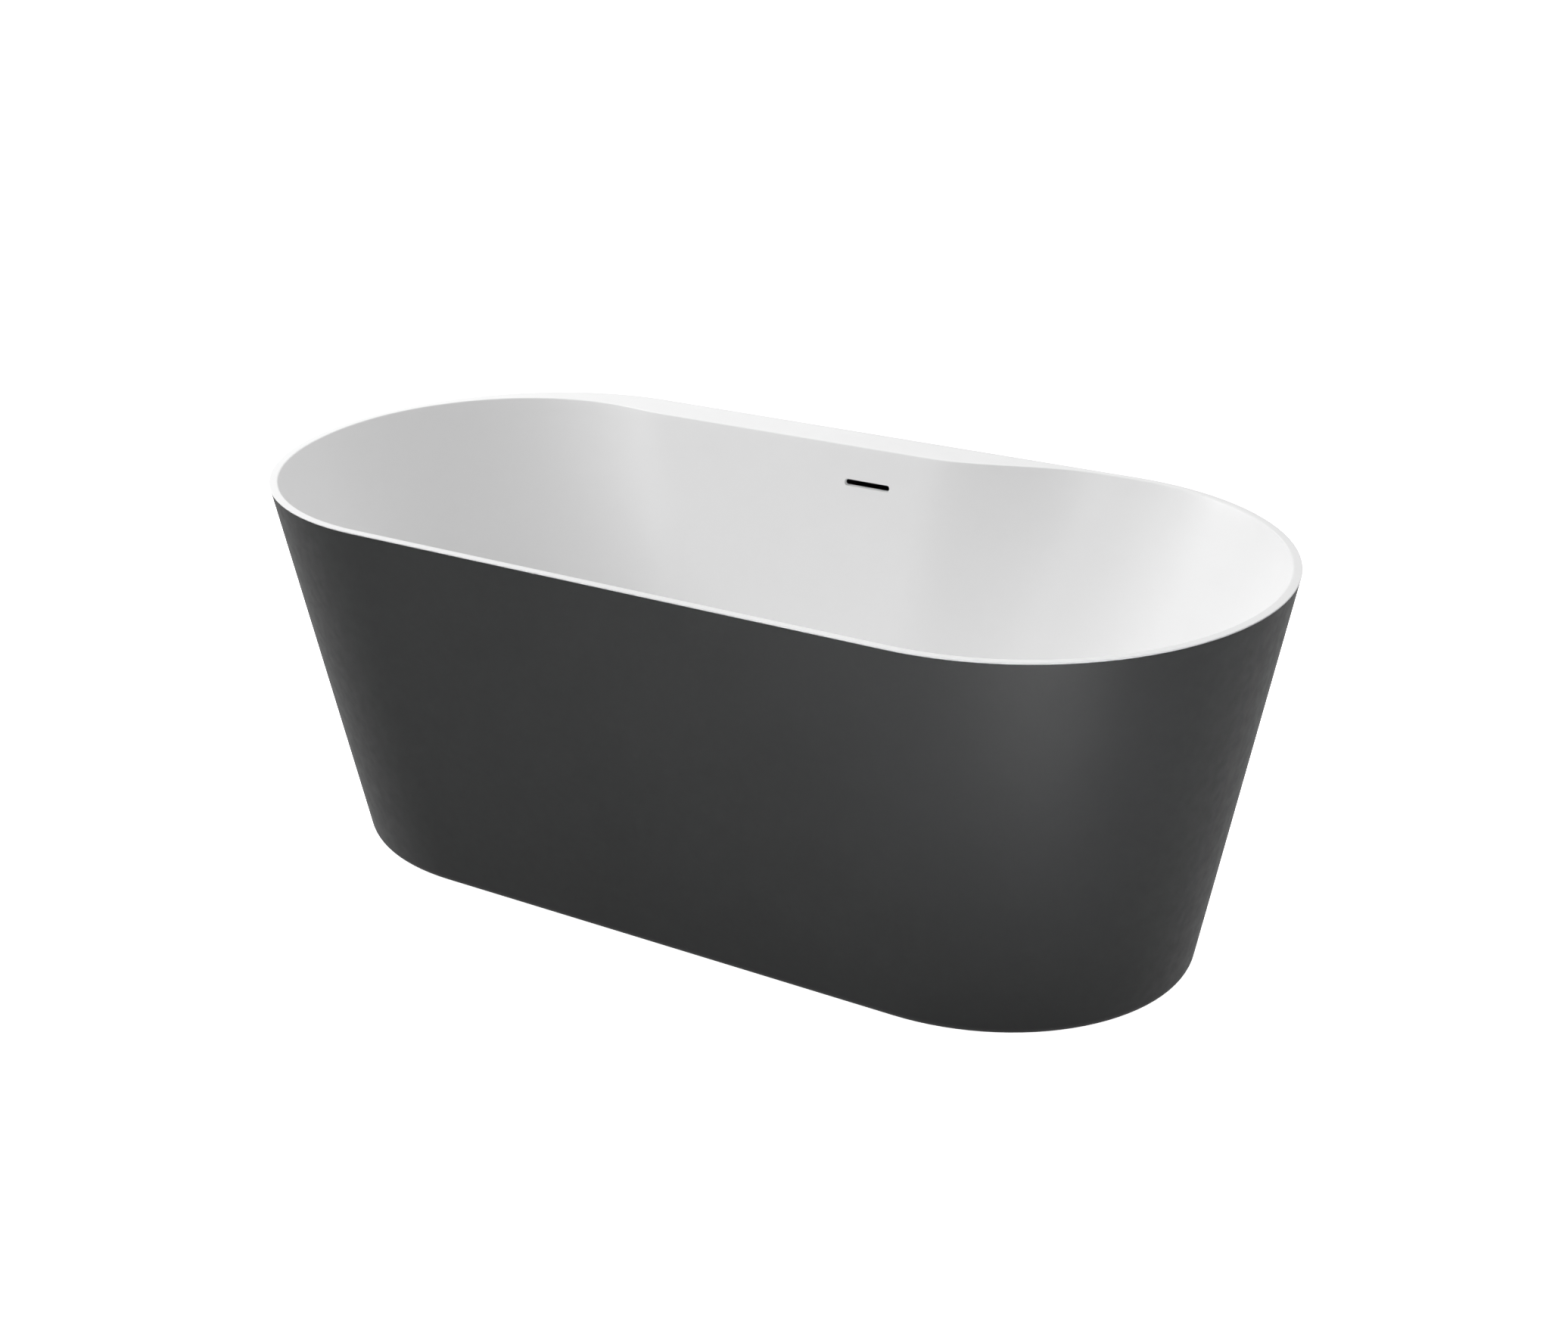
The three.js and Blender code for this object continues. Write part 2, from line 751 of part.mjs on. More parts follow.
function makeBody() {
  const thread = throatRadius + throatWall + gap;
  const threadBottom = flangeTop - throatDepth - 3;
  const dipBottom = cupBottom + cupWall + 9;
  const body = turned(
    [
      [dipRadius - spigotWall, dipBottom],
      [dipRadius, dipBottom],
      [dipRadius, bodyBottom],
      [cupLip, bodyBottom],
      [cupLip, bodyBottom + 10],
      [bodyRadius, bodyBottom + 12],
      [bodyRadius, bodyTop - 12],
      [bodyFlange, bodyTop - 7],
      [bodyFlange, bodyTop],
      [thread, bodyTop],
      [thread, threadBottom],
      [bodyRadius - bodyWall, threadBottom - 2],
      [bodyRadius - bodyWall, bodyBottom + 8],
      [dipRadius - spigotWall, bodyBottom + 4],
    ],
  );
  const spigot = alongY(rod(hoseBore - 2 * gap, bodyRadius - 2, inletReach, 20)).translate(0, 0, inletZ);
  const bore = alongY(rod(hoseBore - 2 * gap - spigotWall, bodyRadius / 2, inletReach + 1, 20));
  return carve([body, spigot], [bore.translate(0, 0, inletZ)]);
}

function makeCup() {
  const cup = turned(
    [
      [0, cupBottom],
      [cupRadius - 4, cupBottom],
      [cupRadius, cupBottom + 4],
      [cupRadius, cupTop - cupLipHeight],
      [cupLip, cupTop - cupLipHeight],
      [cupLip, cupTop],
      [cupRadius - cupWall, cupTop],
      [cupRadius - cupWall, cupBottom + cupWall + 3],
      [cupRadius - cupWall - 3, cupBottom + cupWall],
      [0, cupBottom + cupWall],
    ],
  );
  const spigot = alongX(rod(outletRadius, cupRadius - 4, outletReach)).translate(0, 0, outletZ);
  const bore = alongX(rod(outletRadius - spigotWall, dipRadius + 3, outletReach + 1));
  return carve([cup, spigot], [bore.translate(0, 0, outletZ)]);
}

function makeTrapNut() {
  const lipTop = cupTop - cupLipHeight - gap;
  return turned(
    [
      [cupRadius + gap, lipTop - 5],
      [cupLip + nutWall, lipTop - 5],
      [cupLip + nutWall, bodyBottom + 9],
      [cupLip + gap, bodyBottom + 9],
      [cupLip + gap, lipTop],
      [cupRadius + gap, lipTop],
    ],
  );
}

const outletEnd = outletReach + gap + sealThickness + gap + 3;

function makeOutletNut() {
  const outer = outletRadius + gap + nutWall;
  const seat = outletEnd - 3;
  return alongX(
    turned(
      [
        [outletRadius + gap, outletEnd - outletNutLength],
        [outer, outletEnd - outletNutLength],
        [outer, outletEnd],
        [outletRadius - spigotWall, outletEnd],
        [outletRadius - spigotWall, seat],
        [outletRadius + gap, seat],
      ],
    ),
  ).translate(0, 0, outletZ);
}

// ---- Overflow --------------------------------------------------------------------------------

const gasketBack = seatY + gap + sealThickness;
const housingFront = gasketBack + gap;
const housingY = housingFront + housingFlange + housingDepth / 2;
const spigotTop = overflowZ - housingTall / 2;
const spigotEnd = spigotTop - 26;

function makeHousing() {
  const mouth = [slotLength + 2 * gap, slotHeight + 2 * gap];
  const boxY = housingFront + housingFlange + housingDepth / 2 - 1;
  const cavity = box(
    housingLength - 2 * housingWall,
    housingDepth - housingWall,
    housingTall - 2 * housingWall,
    plumbingX,
    housingFront + housingFlange + (housingDepth - housingWall) / 2,
    overflowZ,
  );
  return carve(
    [
      slotBar(padLength, padTall, housingFront, housingFront + housingFlange),
      box(housingLength, housingDepth + 2, housingTall, plumbingX, boxY, overflowZ),
      rod(hoseBore - 2 * gap, spigotEnd, spigotTop + 1, 20).translate(plumbingX, housingY, 0),
    ],
    [
      cavity,
      slotBar(...mouth, housingFront - 1, housingFront + housingFlange + 1),
      rod(hoseBore - 2 * gap - spigotWall, spigotEnd - 1, overflowZ, 20).translate(plumbingX, housingY, 0),
      ...atScrews(() => alongY(rod(screwRadius + gap, housingFront - 1, housingY, 12))),
    ],
  );
}

function makeOverflowScrew() {
  const head = housingFront + housingFlange + gap;
  return alongY(
    turned(
      [
        [0, seatY - screwBite + 1],
        [screwRadius, seatY - screwBite + 1],
        [screwRadius, head],
        [screwHead, head],
        [screwHead, head + 3],
        [0, head + 3],
      ],
      12,
    ),
  );
}

// The hose leaves the housing downwards, keeps to the middle of the space between basin and shell,
// and turns in under the frame's rail to the inlet of the waste body.
function hoseCurve() {
  const middleY = (z) => (skinBackY(z) + shellBackY(z)) / 2;
  const under = undersideZ + floorFillet;
  const turnZ = undersideZ - 12;
  const points = [
    [housingY, spigotTop - 4],
    [housingY, spigotTop - 16],
    [housingY, spigotEnd],
    [housingY, spigotEnd - 12],
    [middleY(spigotEnd - 90), spigotEnd - 90],
    [middleY(under + 70), under + 70],
    [middleY(under), under],
    [middleY(turnZ) - 32, turnZ - 8],
    [railY + tubeWidth + 22, inletZ + 7],
    [railY + tubeWidth / 2, inletZ],
    [bodyRadius + 28, inletZ],
    [bodyRadius + 10, inletZ],
  ];
  return new THREE.CatmullRomCurve3(
    points.map(([y, z]) => new THREE.Vector3(plumbingX, y, z)),
    false,
    "centripetal",
  );
}

function makeHose() {
  const shape = new THREE.Shape().absarc(0, 0, hoseRadius, 0, 2 * Math.PI, false);
  shape.holes.push(new THREE.Path().absarc(0, 0, hoseBore, 0, 2 * Math.PI, true));
  return new THREE.ExtrudeGeometry(shape, { steps: 30, extrudePath: hoseCurve(), curveSegments: 8 });
}

// A worm-drive clamp: a band with its screw block on one side.
function makeClamp() {
  const band = tube(hoseRadius + 2 * gap, hoseRadius + 2 * gap + clampWall, 0, clampWidth, 20);
  const block = box(8, 12, clampWidth - 2, hoseRadius + 2 * gap + clampWall + 3, 0, clampWidth / 2);
  return carve([band, block]);
}

// ---- Assembly --------------------------------------------------------------------------------

addMesh("basin", makeBasin(), "white");
addMesh("outer_shell", makeShell(), "anthracite");
addMesh("rim_bond", makeBead(), "adhesive");
for (const [name, [x, side]] of Object.entries(spacerPlaces)) {
  addMesh(name, makeSpacer(side), "foam").position.x = x;
}

addMesh("base_board", makeBoard(), "board");
addMesh("rail_back", makeRail(1), "steel");
addMesh("rail_front", makeRail(-1), "steel");
const outerBar = 2 * (footY + barEnd);
addMesh("bar_left", makeBar(-footX, outerBar, [-footY, footY]), "steel");
addMesh("bar_right", makeBar(footX, outerBar, [-footY, footY]), "steel");
addMesh("bar_middle", makeBar(middleBarX, 2 * (railY + tubeWidth), [0]), "steel");
for (const [place, [x, y]] of Object.entries(crossings)) {
  addMesh("frame_screw_" + place, makeFrameScrew(), "steel").position.set(x, y, 0);
}

for (const [place, [x, y]] of Object.entries(feet)) {
  const footPieces = [
    addMesh(
      "foot_nut_" + place,
      hexNut(studRadius + runningGap, footNutTop - footNutHeight, footNutTop),
      "steel",
    ),
    addMesh(
      "lock_nut_" + place,
      hexNut(studRadius + runningGap, lockNutTop - lockNutHeight, lockNutTop),
      "steel",
    ),
    addMesh("foot_stud_" + place, makeStud(), "steel"),
    addMesh("foot_pad_" + place, makePad(), "blackPlastic"),
  ];
  for (const piece of footPieces) piece.position.set(x, y, 0);
}

const gasketRing = tube(throatRadius + throatWall + gap, flangeRadius - 1, seatZ + gap, flangeBottom - gap);
const bodyGasket = tube(throatRadius + 4, bodyFlange - 1, bodyTop + gap, undersideZ - gap);
const trapGasket = tube(dipRadius + gap, cupLip - 1, cupTop + gap, bodyBottom - gap);
const plugSeal = tube(throatRadius + 4, capRadius - 2, flangeTop + gap, capBottom - gap);
const plugStem = rod(stemRadius, flangeTop - throatDepth + 8, stemTop, 16);
const outletSeal = alongX(
  tube(outletRadius - spigotWall, outletRadius, outletReach + gap, outletReach + gap + sealThickness),
).translate(0, 0, outletZ);
const wastePieces = [
  addMesh("waste_flange", makeWasteFlange(), "chrome"),
  addMesh("flange_gasket", gasketRing, "rubber"),
  addMesh("click_cartridge", makeCartridge(), "blackPlastic"),
  addMesh("plug_stem", plugStem, "steel"),
  addMesh("plug_seal", plugSeal, "rubber"),
  addMesh("plug_cap", makeCap(), "chrome"),
  addMesh("body_gasket", bodyGasket, "rubber"),
  addMesh("waste_body", makeBody(), "plastic"),
  addMesh("trap_gasket", trapGasket, "rubber"),
  addMesh("trap_cup", makeCup(), "plastic"),
  addMesh("trap_nut", makeTrapNut(), "plastic"),
  addMesh("outlet_seal", outletSeal, "rubber"),
  addMesh("outlet_nut", makeOutletNut(), "plastic"),
];
for (const piece of wastePieces) piece.position.x = plumbingX;

const slotHole = [slotLength + 2 * gap, slotHeight + 2 * gap];
const trimBore = [slotLength - 2 * trimWall, slotHeight - 2 * trimWall];
addMesh(
  "overflow_trim",
  slotBar(slotLength, slotHeight, trimFront, trimFront + trimDepth, trimBore),
  "chrome",
);
addMesh(
  "overflow_gasket",
  slotBar(slotLength + 16, slotHeight + 14, seatY + gap, gasketBack, slotHole),
  "rubber",
);
addMesh("overflow_housing", makeHousing(), "blackPlastic");
for (const [place, side] of [["left", -1], ["right", 1]]) {
  const screw = addMesh("overflow_screw_" + place, makeOverflowScrew(), "steel");
  screw.position.set(plumbingX + (side * screwSpacing) / 2, 0, overflowZ);
}
addMesh("overflow_hose", makeHose(), "blackPlastic");
const clampTop = addMesh("hose_clamp_top", makeClamp(), "steel");
clampTop.position.set(plumbingX, housingY, spigotTop - 20);
const clampBottom = addMesh("hose_clamp_bottom", makeClamp(), "steel");
clampBottom.position.set(plumbingX, bodyRadius + 16, inletZ);
clampBottom.rotation.x = -Math.PI / 2;

export default tub;
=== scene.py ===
"""Looks of a freestanding bathtub: a white basin in a dark tapered shell, with its frame, feet,
waste, trap and overflow. Sizes are in millimetres and become metres when a piece is added."""

import json
import math

import bmesh
import bpy
from mathutils import Matrix, Vector


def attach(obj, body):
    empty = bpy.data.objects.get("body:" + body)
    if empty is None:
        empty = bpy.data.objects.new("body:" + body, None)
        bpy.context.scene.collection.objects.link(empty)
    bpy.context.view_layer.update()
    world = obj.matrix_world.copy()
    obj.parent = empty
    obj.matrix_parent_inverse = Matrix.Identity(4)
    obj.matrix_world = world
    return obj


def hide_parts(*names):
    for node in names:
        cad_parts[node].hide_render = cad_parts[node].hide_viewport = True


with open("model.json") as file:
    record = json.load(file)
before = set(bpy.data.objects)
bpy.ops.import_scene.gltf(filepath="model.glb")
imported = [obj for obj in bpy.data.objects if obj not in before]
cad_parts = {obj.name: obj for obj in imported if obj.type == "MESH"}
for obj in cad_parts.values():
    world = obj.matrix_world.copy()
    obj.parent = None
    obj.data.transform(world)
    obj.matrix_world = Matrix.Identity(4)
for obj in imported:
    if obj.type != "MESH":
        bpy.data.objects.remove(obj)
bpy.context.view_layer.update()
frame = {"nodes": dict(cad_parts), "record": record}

MM = 0.001

# Sizes of the tub, as in the CAD part.
LENGTH, WIDTH, HEIGHT, RIM_STRAIGHT = 1600, 800, 600, 858
BASE_LENGTH, BASE_WIDTH, BASE_STRAIGHT = 1397, 580, 782
FLOOR_GAP = 2.5
FLOOR_Z, UNDERSIDE_Z = 170, 161
FLOOR_LENGTH, FLOOR_WIDTH, FLOOR_STRAIGHT = 1200, 450, 600
FLOOR_FILLET = 80
FLOOR_FALL = 3
SKIN = 6
SHELL_WALL, SHELL_FOOT, SHELL_RETURN = 4.5, 14, 25
RIM_WIDTH, RIM_LIP = 12.5, 1.5
LEDGE_DEPTH = 61.5
LEDGE_LEFT, LEDGE_RIGHT = (-790, -400), (115, 375)
LEDGE_EASE = 0.35
MITRE_INSET = RIM_WIDTH - SKIN - 1
MITRE_Z = HEIGHT - RIM_LIP - MITRE_INSET
GAP = 0.3
RIM_ROUND = 2.2  # rounding of the rim's inner edge
LIP_ROUND = 0.6  # and of its outer edge

PLUMBING_X = 12
SLOT_Z, SLOT_LENGTH, SLOT_HEIGHT = 543, 80, 10.5
SLOT_FRONT, SLOT_BACK, SLOT_WALL = 315.8, 347.8, 1.4
PAD_LENGTH, PAD_TALL, PAD_PROUD = 150, 34, 3.5  # thickened seat behind the overflow
SEAT_RADIUS, SEAT_Z = 37.5, 168.5
FLANGE_TOP, FLANGE_LOW, FLANGE_RADIUS, FLANGE_DEPTH = 173.1, 170.6, 35, 42
THROAT, HUB, WEB = 22.5, 7.3, 6
CAP_BOTTOM, CAP_RADIUS, CAP_HEIGHT = 175.7, 31, 5.5
OUTLET_Z = 41.9
GRIP_HEIGHT = 1.4  # ribs on the hand-tightened nuts

HOUSING_Y, INLET_Z = 348.4, 104  # the hose's two ends
HOSE_RADIUS, HOSE_BORE, HOSE_CUFF, HOSE_SIDES, CORRUGATION = 16.7, 14, 24, 32, 6
RAIL_Y = 88

FEET = {
    "back_left": (-427.5, 200),
    "back_right": (427.5, 200),
    "front_left": (-427.5, -200),
    "front_right": (427.5, -200),
    "middle": (-150, 0),
}
STUD_RADIUS, THREAD_DEPTH, THREAD_PITCH = 6, 0.55, 1.75
STUD_LOW, THREAD_START, COLLAR_LOW, COLLAR_TOP, STUD_TOP = 6.3, 20.4, 70.2, 78.2, 118.1
COLLAR_RADIUS = 11  # across the hexagon's corners

END_STEPS = 26  # points in a quarter of an oval's ends
SIDE_STEPS = 44  # and along each straight side
MERGE_DISTANCE = 0.0005
ROUND_EDGE = {"segments": 2, "profile": 0.5, "affect": "EDGES", "material": -1}


# ---- Meshes ------------------------------------------------------------------------------------


def finished_mesh(name, bm, smooth_angle):
    bmesh.ops.scale(bm, vec=Vector((MM, MM, MM)), verts=bm.verts)
    bmesh.ops.recalc_face_normals(bm, faces=bm.faces)
    mesh = bpy.data.meshes.new(name)
    bm.to_mesh(mesh)
    bm.free()
    for polygon in mesh.polygons:
        polygon.use_smooth = True
    mesh.set_sharp_from_angle(angle=math.radians(smooth_angle))
    return mesh


def add_piece(name, bm, slot, body, *replaced, smooth_angle=40):
    """Makes a bmesh in millimetres a piece that rides on a body and stands for CAD nodes."""
    mesh = finished_mesh(name, bm, smooth_angle)
    mesh.materials.append(MATERIALS[slot])
    piece = bpy.data.objects.new(name, mesh)
    bpy.context.scene.collection.objects.link(piece)
    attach(piece, body)
    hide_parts(*replaced)
    return piece


def skin_through(rings, closed=False):
    """A skin drawn out of the first ring of points through all the others. A last ring whose
    points are all one point closes it with a pole."""
    bm = bmesh.new()
    verts = [bm.verts.new(point) for point in rings[0]]
    edges = [bm.edges.new((a, b)) for a, b in zip(verts, verts[1:] + verts[:1])]
    path = rings[1:] + ([rings[0]] if closed else [])
    for ring in path:
        order = {tuple(vert.co): i for i, vert in enumerate(verts)}
        drawn = bmesh.ops.extrude_edge_only(bm, edges=edges)["geom"]
        fresh = {item for item in drawn if isinstance(item, bmesh.types.BMVert)}
        edges = [item for item in drawn if isinstance(item, bmesh.types.BMEdge)]
        edges = [edge for edge in edges if fresh.issuperset(edge.verts)]
        verts = sorted(fresh, key=lambda vert: order[tuple(vert.co)])
        for vert, point in zip(verts, ring):
            vert.co = point
    bmesh.ops.remove_doubles(bm, verts=bm.verts, dist=MERGE_DISTANCE)
    return bm


def turned(profile, steps=72, at=(0, 0, 0), along="Z"):
    """A profile of (radius, height) points spun round. It ends on the axis or is closed."""
    bm = bmesh.new()
    verts = [bm.verts.new((radius, 0, height)) for radius, height in profile]
    pairs = list(zip(verts, verts[1:]))
    if profile[0][0] > 0:
        pairs.append((verts[-1], verts[0]))
    edges = [bm.edges.new(pair) for pair in pairs]
    circle = {"cent": (0, 0, 0), "axis": (0, 0, 1), "angle": 2 * math.pi}
    bmesh.ops.spin(bm, geom=verts + edges, steps=steps, use_merge=True, **circle)
    bmesh.ops.remove_doubles(bm, verts=bm.verts, dist=MERGE_DISTANCE)
    stand(bm, at, along)
    return bm


def stand(bm, at, along="Z"):
    turn = Matrix.Rotation(math.pi / 2, 4, "Y") if along == "X" else Matrix()
    bmesh.ops.transform(bm, matrix=Matrix.Translation(at) @ turn, verts=bm.verts)


def rod(radius, bottom, top):
    """A solid round bar on the plumbing's axis."""
    return turned([(0, bottom), (radius, bottom), (radius, top), (0, top)], 96, (PLUMBING_X, 0, 0))


def arc(centre_r, centre_z, radius, start, end, steps=5):
    """Profile points of a rounded corner, from angle start to end, in degrees."""
    points = []
    for i in range(steps + 1):
        angle = math.radians(start + (end - start) * i / steps)
        points.append((centre_r + radius * math.cos(angle), centre_z + radius * math.sin(angle)))
    return points


def slot_outline(long, tall, y, steps=14):
    reach = (long - tall) / 2
    ring = []
    for side in (1, -1):
        for i in range(steps + 1):
            angle = math.pi * (i / steps - 0.5)
            x = PLUMBING_X + side * (reach + tall / 2 * math.cos(angle))
            ring.append(Vector((x, y, SLOT_Z + side * tall / 2 * math.sin(angle))))
    return ring


def wall_back(z):
    """Outside of the basin's back wall, beside the overflow."""
    top = WIDTH / 2 - RIM_WIDTH - LEDGE_DEPTH + SKIN
    low = FLOOR_WIDTH / 2 + SKIN
    return top - (top - low) * (MITRE_Z - z) / (MITRE_Z - UNDERSIDE_Z)


def slot_plug(long, tall, start, end, along_wall=False):
    """A slot-shaped solid. Its front is flat, or lies start behind the outside of the wall."""
    rings = [slot_outline(long, tall, y) for y in (start, end)]
    if along_wall:
        for point in rings[0]:
            point.y += wall_back(point.z)
    middles = [sum(ring, Vector()) / len(ring) for ring in rings]
    side = skin_through([rings[0], rings[1], [middles[1]] * len(rings[1])])
    return joined(side, skin_through([rings[0], [middles[0]] * len(rings[0])]))


def joined(*parts):
    """One bmesh that holds several, which are freed."""
    whole = bmesh.new()
    for part in parts:
        mesh = bpy.data.meshes.new("part")
        part.to_mesh(mesh)
        part.free()
        whole.from_mesh(mesh)
        bpy.data.meshes.remove(mesh)
    bmesh.ops.remove_doubles(whole, verts=whole.verts, dist=MERGE_DISTANCE)
    return whole


def combine(piece, operation, solids):
    """Adds solids, bmeshes in millimetres, to a piece or cuts them out, and keeps the result."""
    for bm in solids:
        cutter = bpy.data.objects.new("cutter", finished_mesh("cutter", bm, 40))
        bpy.context.scene.collection.objects.link(cutter)
        modifier = piece.modifiers.new("combine", "BOOLEAN")
        modifier.operation = operation
        modifier.solver = "EXACT"
        modifier.object = cutter
        bpy.context.view_layer.update()
        shaped = piece.evaluated_get(bpy.context.evaluated_depsgraph_get())
        result = bpy.data.meshes.new_from_object(shaped)
        piece.modifiers.clear()
        old = piece.data
        piece.data = result
        bpy.data.meshes.remove(old)
        bpy.data.objects.remove(cutter)
    for polygon in piece.data.polygons:
        polygon.use_smooth = True
    piece.data.set_sharp_from_angle(angle=math.radians(35))


def eased_copy(node, slot, body, ease=0.5, smooth_angle=32):
    """A copy of a CAD node with its sharp edges eased."""
    bm = bmesh.new()
    bm.from_mesh(frame["nodes"][node].data)
    bmesh.ops.scale(bm, vec=Vector((1 / MM, 1 / MM, 1 / MM)), verts=bm.verts)
    bmesh.ops.remove_doubles(bm, verts=bm.verts, dist=0.002)
    bmesh.ops.dissolve_limit(bm, angle_limit=math.radians(1), verts=bm.verts, edges=bm.edges)
    sharp = [edge for edge in bm.edges if edge.is_manifold and edge.calc_face_angle() > math.radians(35)]
    bmesh.ops.bevel(bm, geom=sharp, offset=ease, clamp_overlap=True, **ROUND_EDGE)
    return add_piece(node + "_eased", bm, slot, body, node, smooth_angle=smooth_angle)


# ---- Ovals of the tub --------------------------------------------------------------------------


def oval(half_length, half_width, half_straight):
    """Half-elliptic ends joined by straight sides, always with the same number of points."""
    end = half_length - half_straight
    half = []
    for i in range(2 * END_STEPS):
        angle = math.pi / 2 * (i / END_STEPS - 1)
        half.append((half_straight + end * math.cos(angle), half_width * math.sin(angle)))
    for i in range(SIDE_STEPS):
        half.append((half_straight * (1 - 2 * i / SIDE_STEPS), half_width))
    return half + [(-x, -y) for x, y in half]


def lifted(ring, z):
    return [Vector((point[0], point[1], z)) for point in ring]


def between(ring_a, ring_b, share):
    return [a.lerp(b, share) for a, b in zip(ring_a, ring_b)]


def rounded(ring_a, corner, ring_b, steps):
    rings = []
    for i in range(steps + 1):
        share = i / steps
        rings.append(between(between(ring_a, corner, share), between(corner, ring_b, share), share))
    return rings


def above(corner, top, distance):
    """The ring at a distance from corner on the way to top."""
    return [c + (t - c).normalized() * distance for c, t in zip(corner, top)]


RIM_OVAL = oval(LENGTH / 2, WIDTH / 2, RIM_STRAIGHT / 2)


def smoothstep(value, low, high):
    share = min(1, max(0, (value - low) / (high - low)))
    return share * share * (3 - 2 * share)


def ledge(x):
    rise = min(1, max(0, (x - LEDGE_LEFT[0]) / (LEDGE_LEFT[1] - LEDGE_LEFT[0])))
    eased = rise + (smoothstep(rise, 0, 1) - rise) * LEDGE_EASE
    return LEDGE_DEPTH * eased * (1 - smoothstep(x, *LEDGE_RIGHT))


def rim_inner(out):
    """The rim's inner edge, moved outwards by out."""
    points = []
    end = LENGTH / 2 - RIM_STRAIGHT / 2
    for x, y in RIM_OVAL:
        past = math.copysign(max(0, abs(x) - RIM_STRAIGHT / 2), x)
        normal = Vector((past / end**2, y / (WIDTH / 2) ** 2)).normalized()
        inset = RIM_WIDTH + (ledge(x) if y > 0 else 0) - out
        points.append((x - normal.x * inset, y - normal.y * inset))
    return points


def shell_ring(z, inset):
    share = (z - FLOOR_GAP) / (HEIGHT - FLOOR_GAP)
    half_length = (BASE_LENGTH + (LENGTH - BASE_LENGTH) * share) / 2
    half_width = (BASE_WIDTH + (WIDTH - BASE_WIDTH) * share) / 2
    half_straight = (BASE_STRAIGHT + (RIM_STRAIGHT - BASE_STRAIGHT) * share) / 2
    return lifted(oval(half_length - inset, half_width - inset, half_straight), z)


def base_ring(z, inset):
    return lifted(oval(BASE_LENGTH / 2 - inset, BASE_WIDTH / 2 - inset, BASE_STRAIGHT / 2), z)


def floor_ring(z, inset):
    return lifted(oval(FLOOR_LENGTH / 2 - inset, FLOOR_WIDTH / 2 - inset, FLOOR_STRAIGHT / 2), z)


def toward(ring, centre, shares):
    return [[point.lerp(centre, share) for point in ring] for share in shares]


def basin_rings():
    floor_middle = Vector((0, 0, FLOOR_Z))
    under_middle = Vector((0, 0, UNDERSIDE_Z))
    inner_top = lifted(rim_inner(0), HEIGHT)
    inner_corner = floor_ring(FLOOR_Z + FLOOR_FALL, 0)
    skin_top = lifted(rim_inner(SKIN), MITRE_Z)
    skin_corner = floor_ring(UNDERSIDE_Z, -SKIN)
    fillet_top = above(inner_corner, inner_top, FLOOR_FILLET)
    fillet = rounded(floor_ring(FLOOR_Z + FLOOR_FALL, FLOOR_FILLET), inner_corner, fillet_top, 18)
    wall_end = above(inner_top, fillet_top, RIM_ROUND)
    rim_start = lifted(rim_inner(RIM_ROUND), HEIGHT)
    rim_end = lifted(oval(LENGTH / 2 - LIP_ROUND, WIDTH / 2 - LIP_ROUND, RIM_STRAIGHT / 2), HEIGHT)
    lip_top = lifted(RIM_OVAL, HEIGHT)
    lip_low = lifted(RIM_OVAL, HEIGHT - LIP_ROUND)
    skin_fillet_top = above(skin_corner, skin_top, FLOOR_FILLET)
    mitre = lifted(oval(LENGTH / 2 - MITRE_INSET, WIDTH / 2 - MITRE_INSET, RIM_STRAIGHT / 2), MITRE_Z)
    skin_fillet = rounded(skin_fillet_top, skin_corner, floor_ring(UNDERSIDE_Z, FLOOR_FILLET), 10)

    rings = toward(fillet[0], floor_middle, (0.94, 0.85, 0.7, 0.5, 0.25))
    rings += fillet
    rings += [between(fillet_top, wall_end, i / 22) for i in range(1, 22)]
    rings += rounded(wall_end, inner_top, rim_start, 6)
    rings += [between(rim_start, rim_end, i / 6) for i in range(1, 6)]
    rings += rounded(rim_end, lip_top, lip_low, 4)
    rings += [lifted(RIM_OVAL, HEIGHT - RIM_LIP), mitre, skin_top]
    rings += [between(skin_top, skin_fillet_top, i / 12) for i in range(1, 12)]
    rings += skin_fillet
    rings += toward(skin_fillet[-1], under_middle, (0.25, 0.5, 0.7, 0.85, 0.94))
    return rings, floor_middle, under_middle


def make_basin():
    rings, floor_middle, under_middle = basin_rings()
    wall = skin_through(rings + [[under_middle] * len(rings[0])])
    floor_centre = skin_through([rings[0], [floor_middle] * len(rings[0])])
    piece = add_piece("basin_surface", joined(wall, floor_centre), "white_composite", "tub", "basin")
    pad_back = wall_back(SLOT_Z + PAD_TALL / 2) + PAD_PROUD
    pad = slot_plug(PAD_LENGTH, PAD_TALL, -3, pad_back, along_wall=True)
    combine(piece, "UNION", [pad])
    slot_cut = slot_plug(SLOT_LENGTH + 2 * GAP, SLOT_HEIGHT + 2 * GAP, 290, SLOT_BACK)
    seat_cut = rod(SEAT_RADIUS, SEAT_Z, FLOOR_Z + 8)
    throat_cut = rod(THROAT + 2.3, UNDERSIDE_Z - 10, FLOOR_Z)
    combine(piece, "DIFFERENCE", [slot_cut, seat_cut, throat_cut])


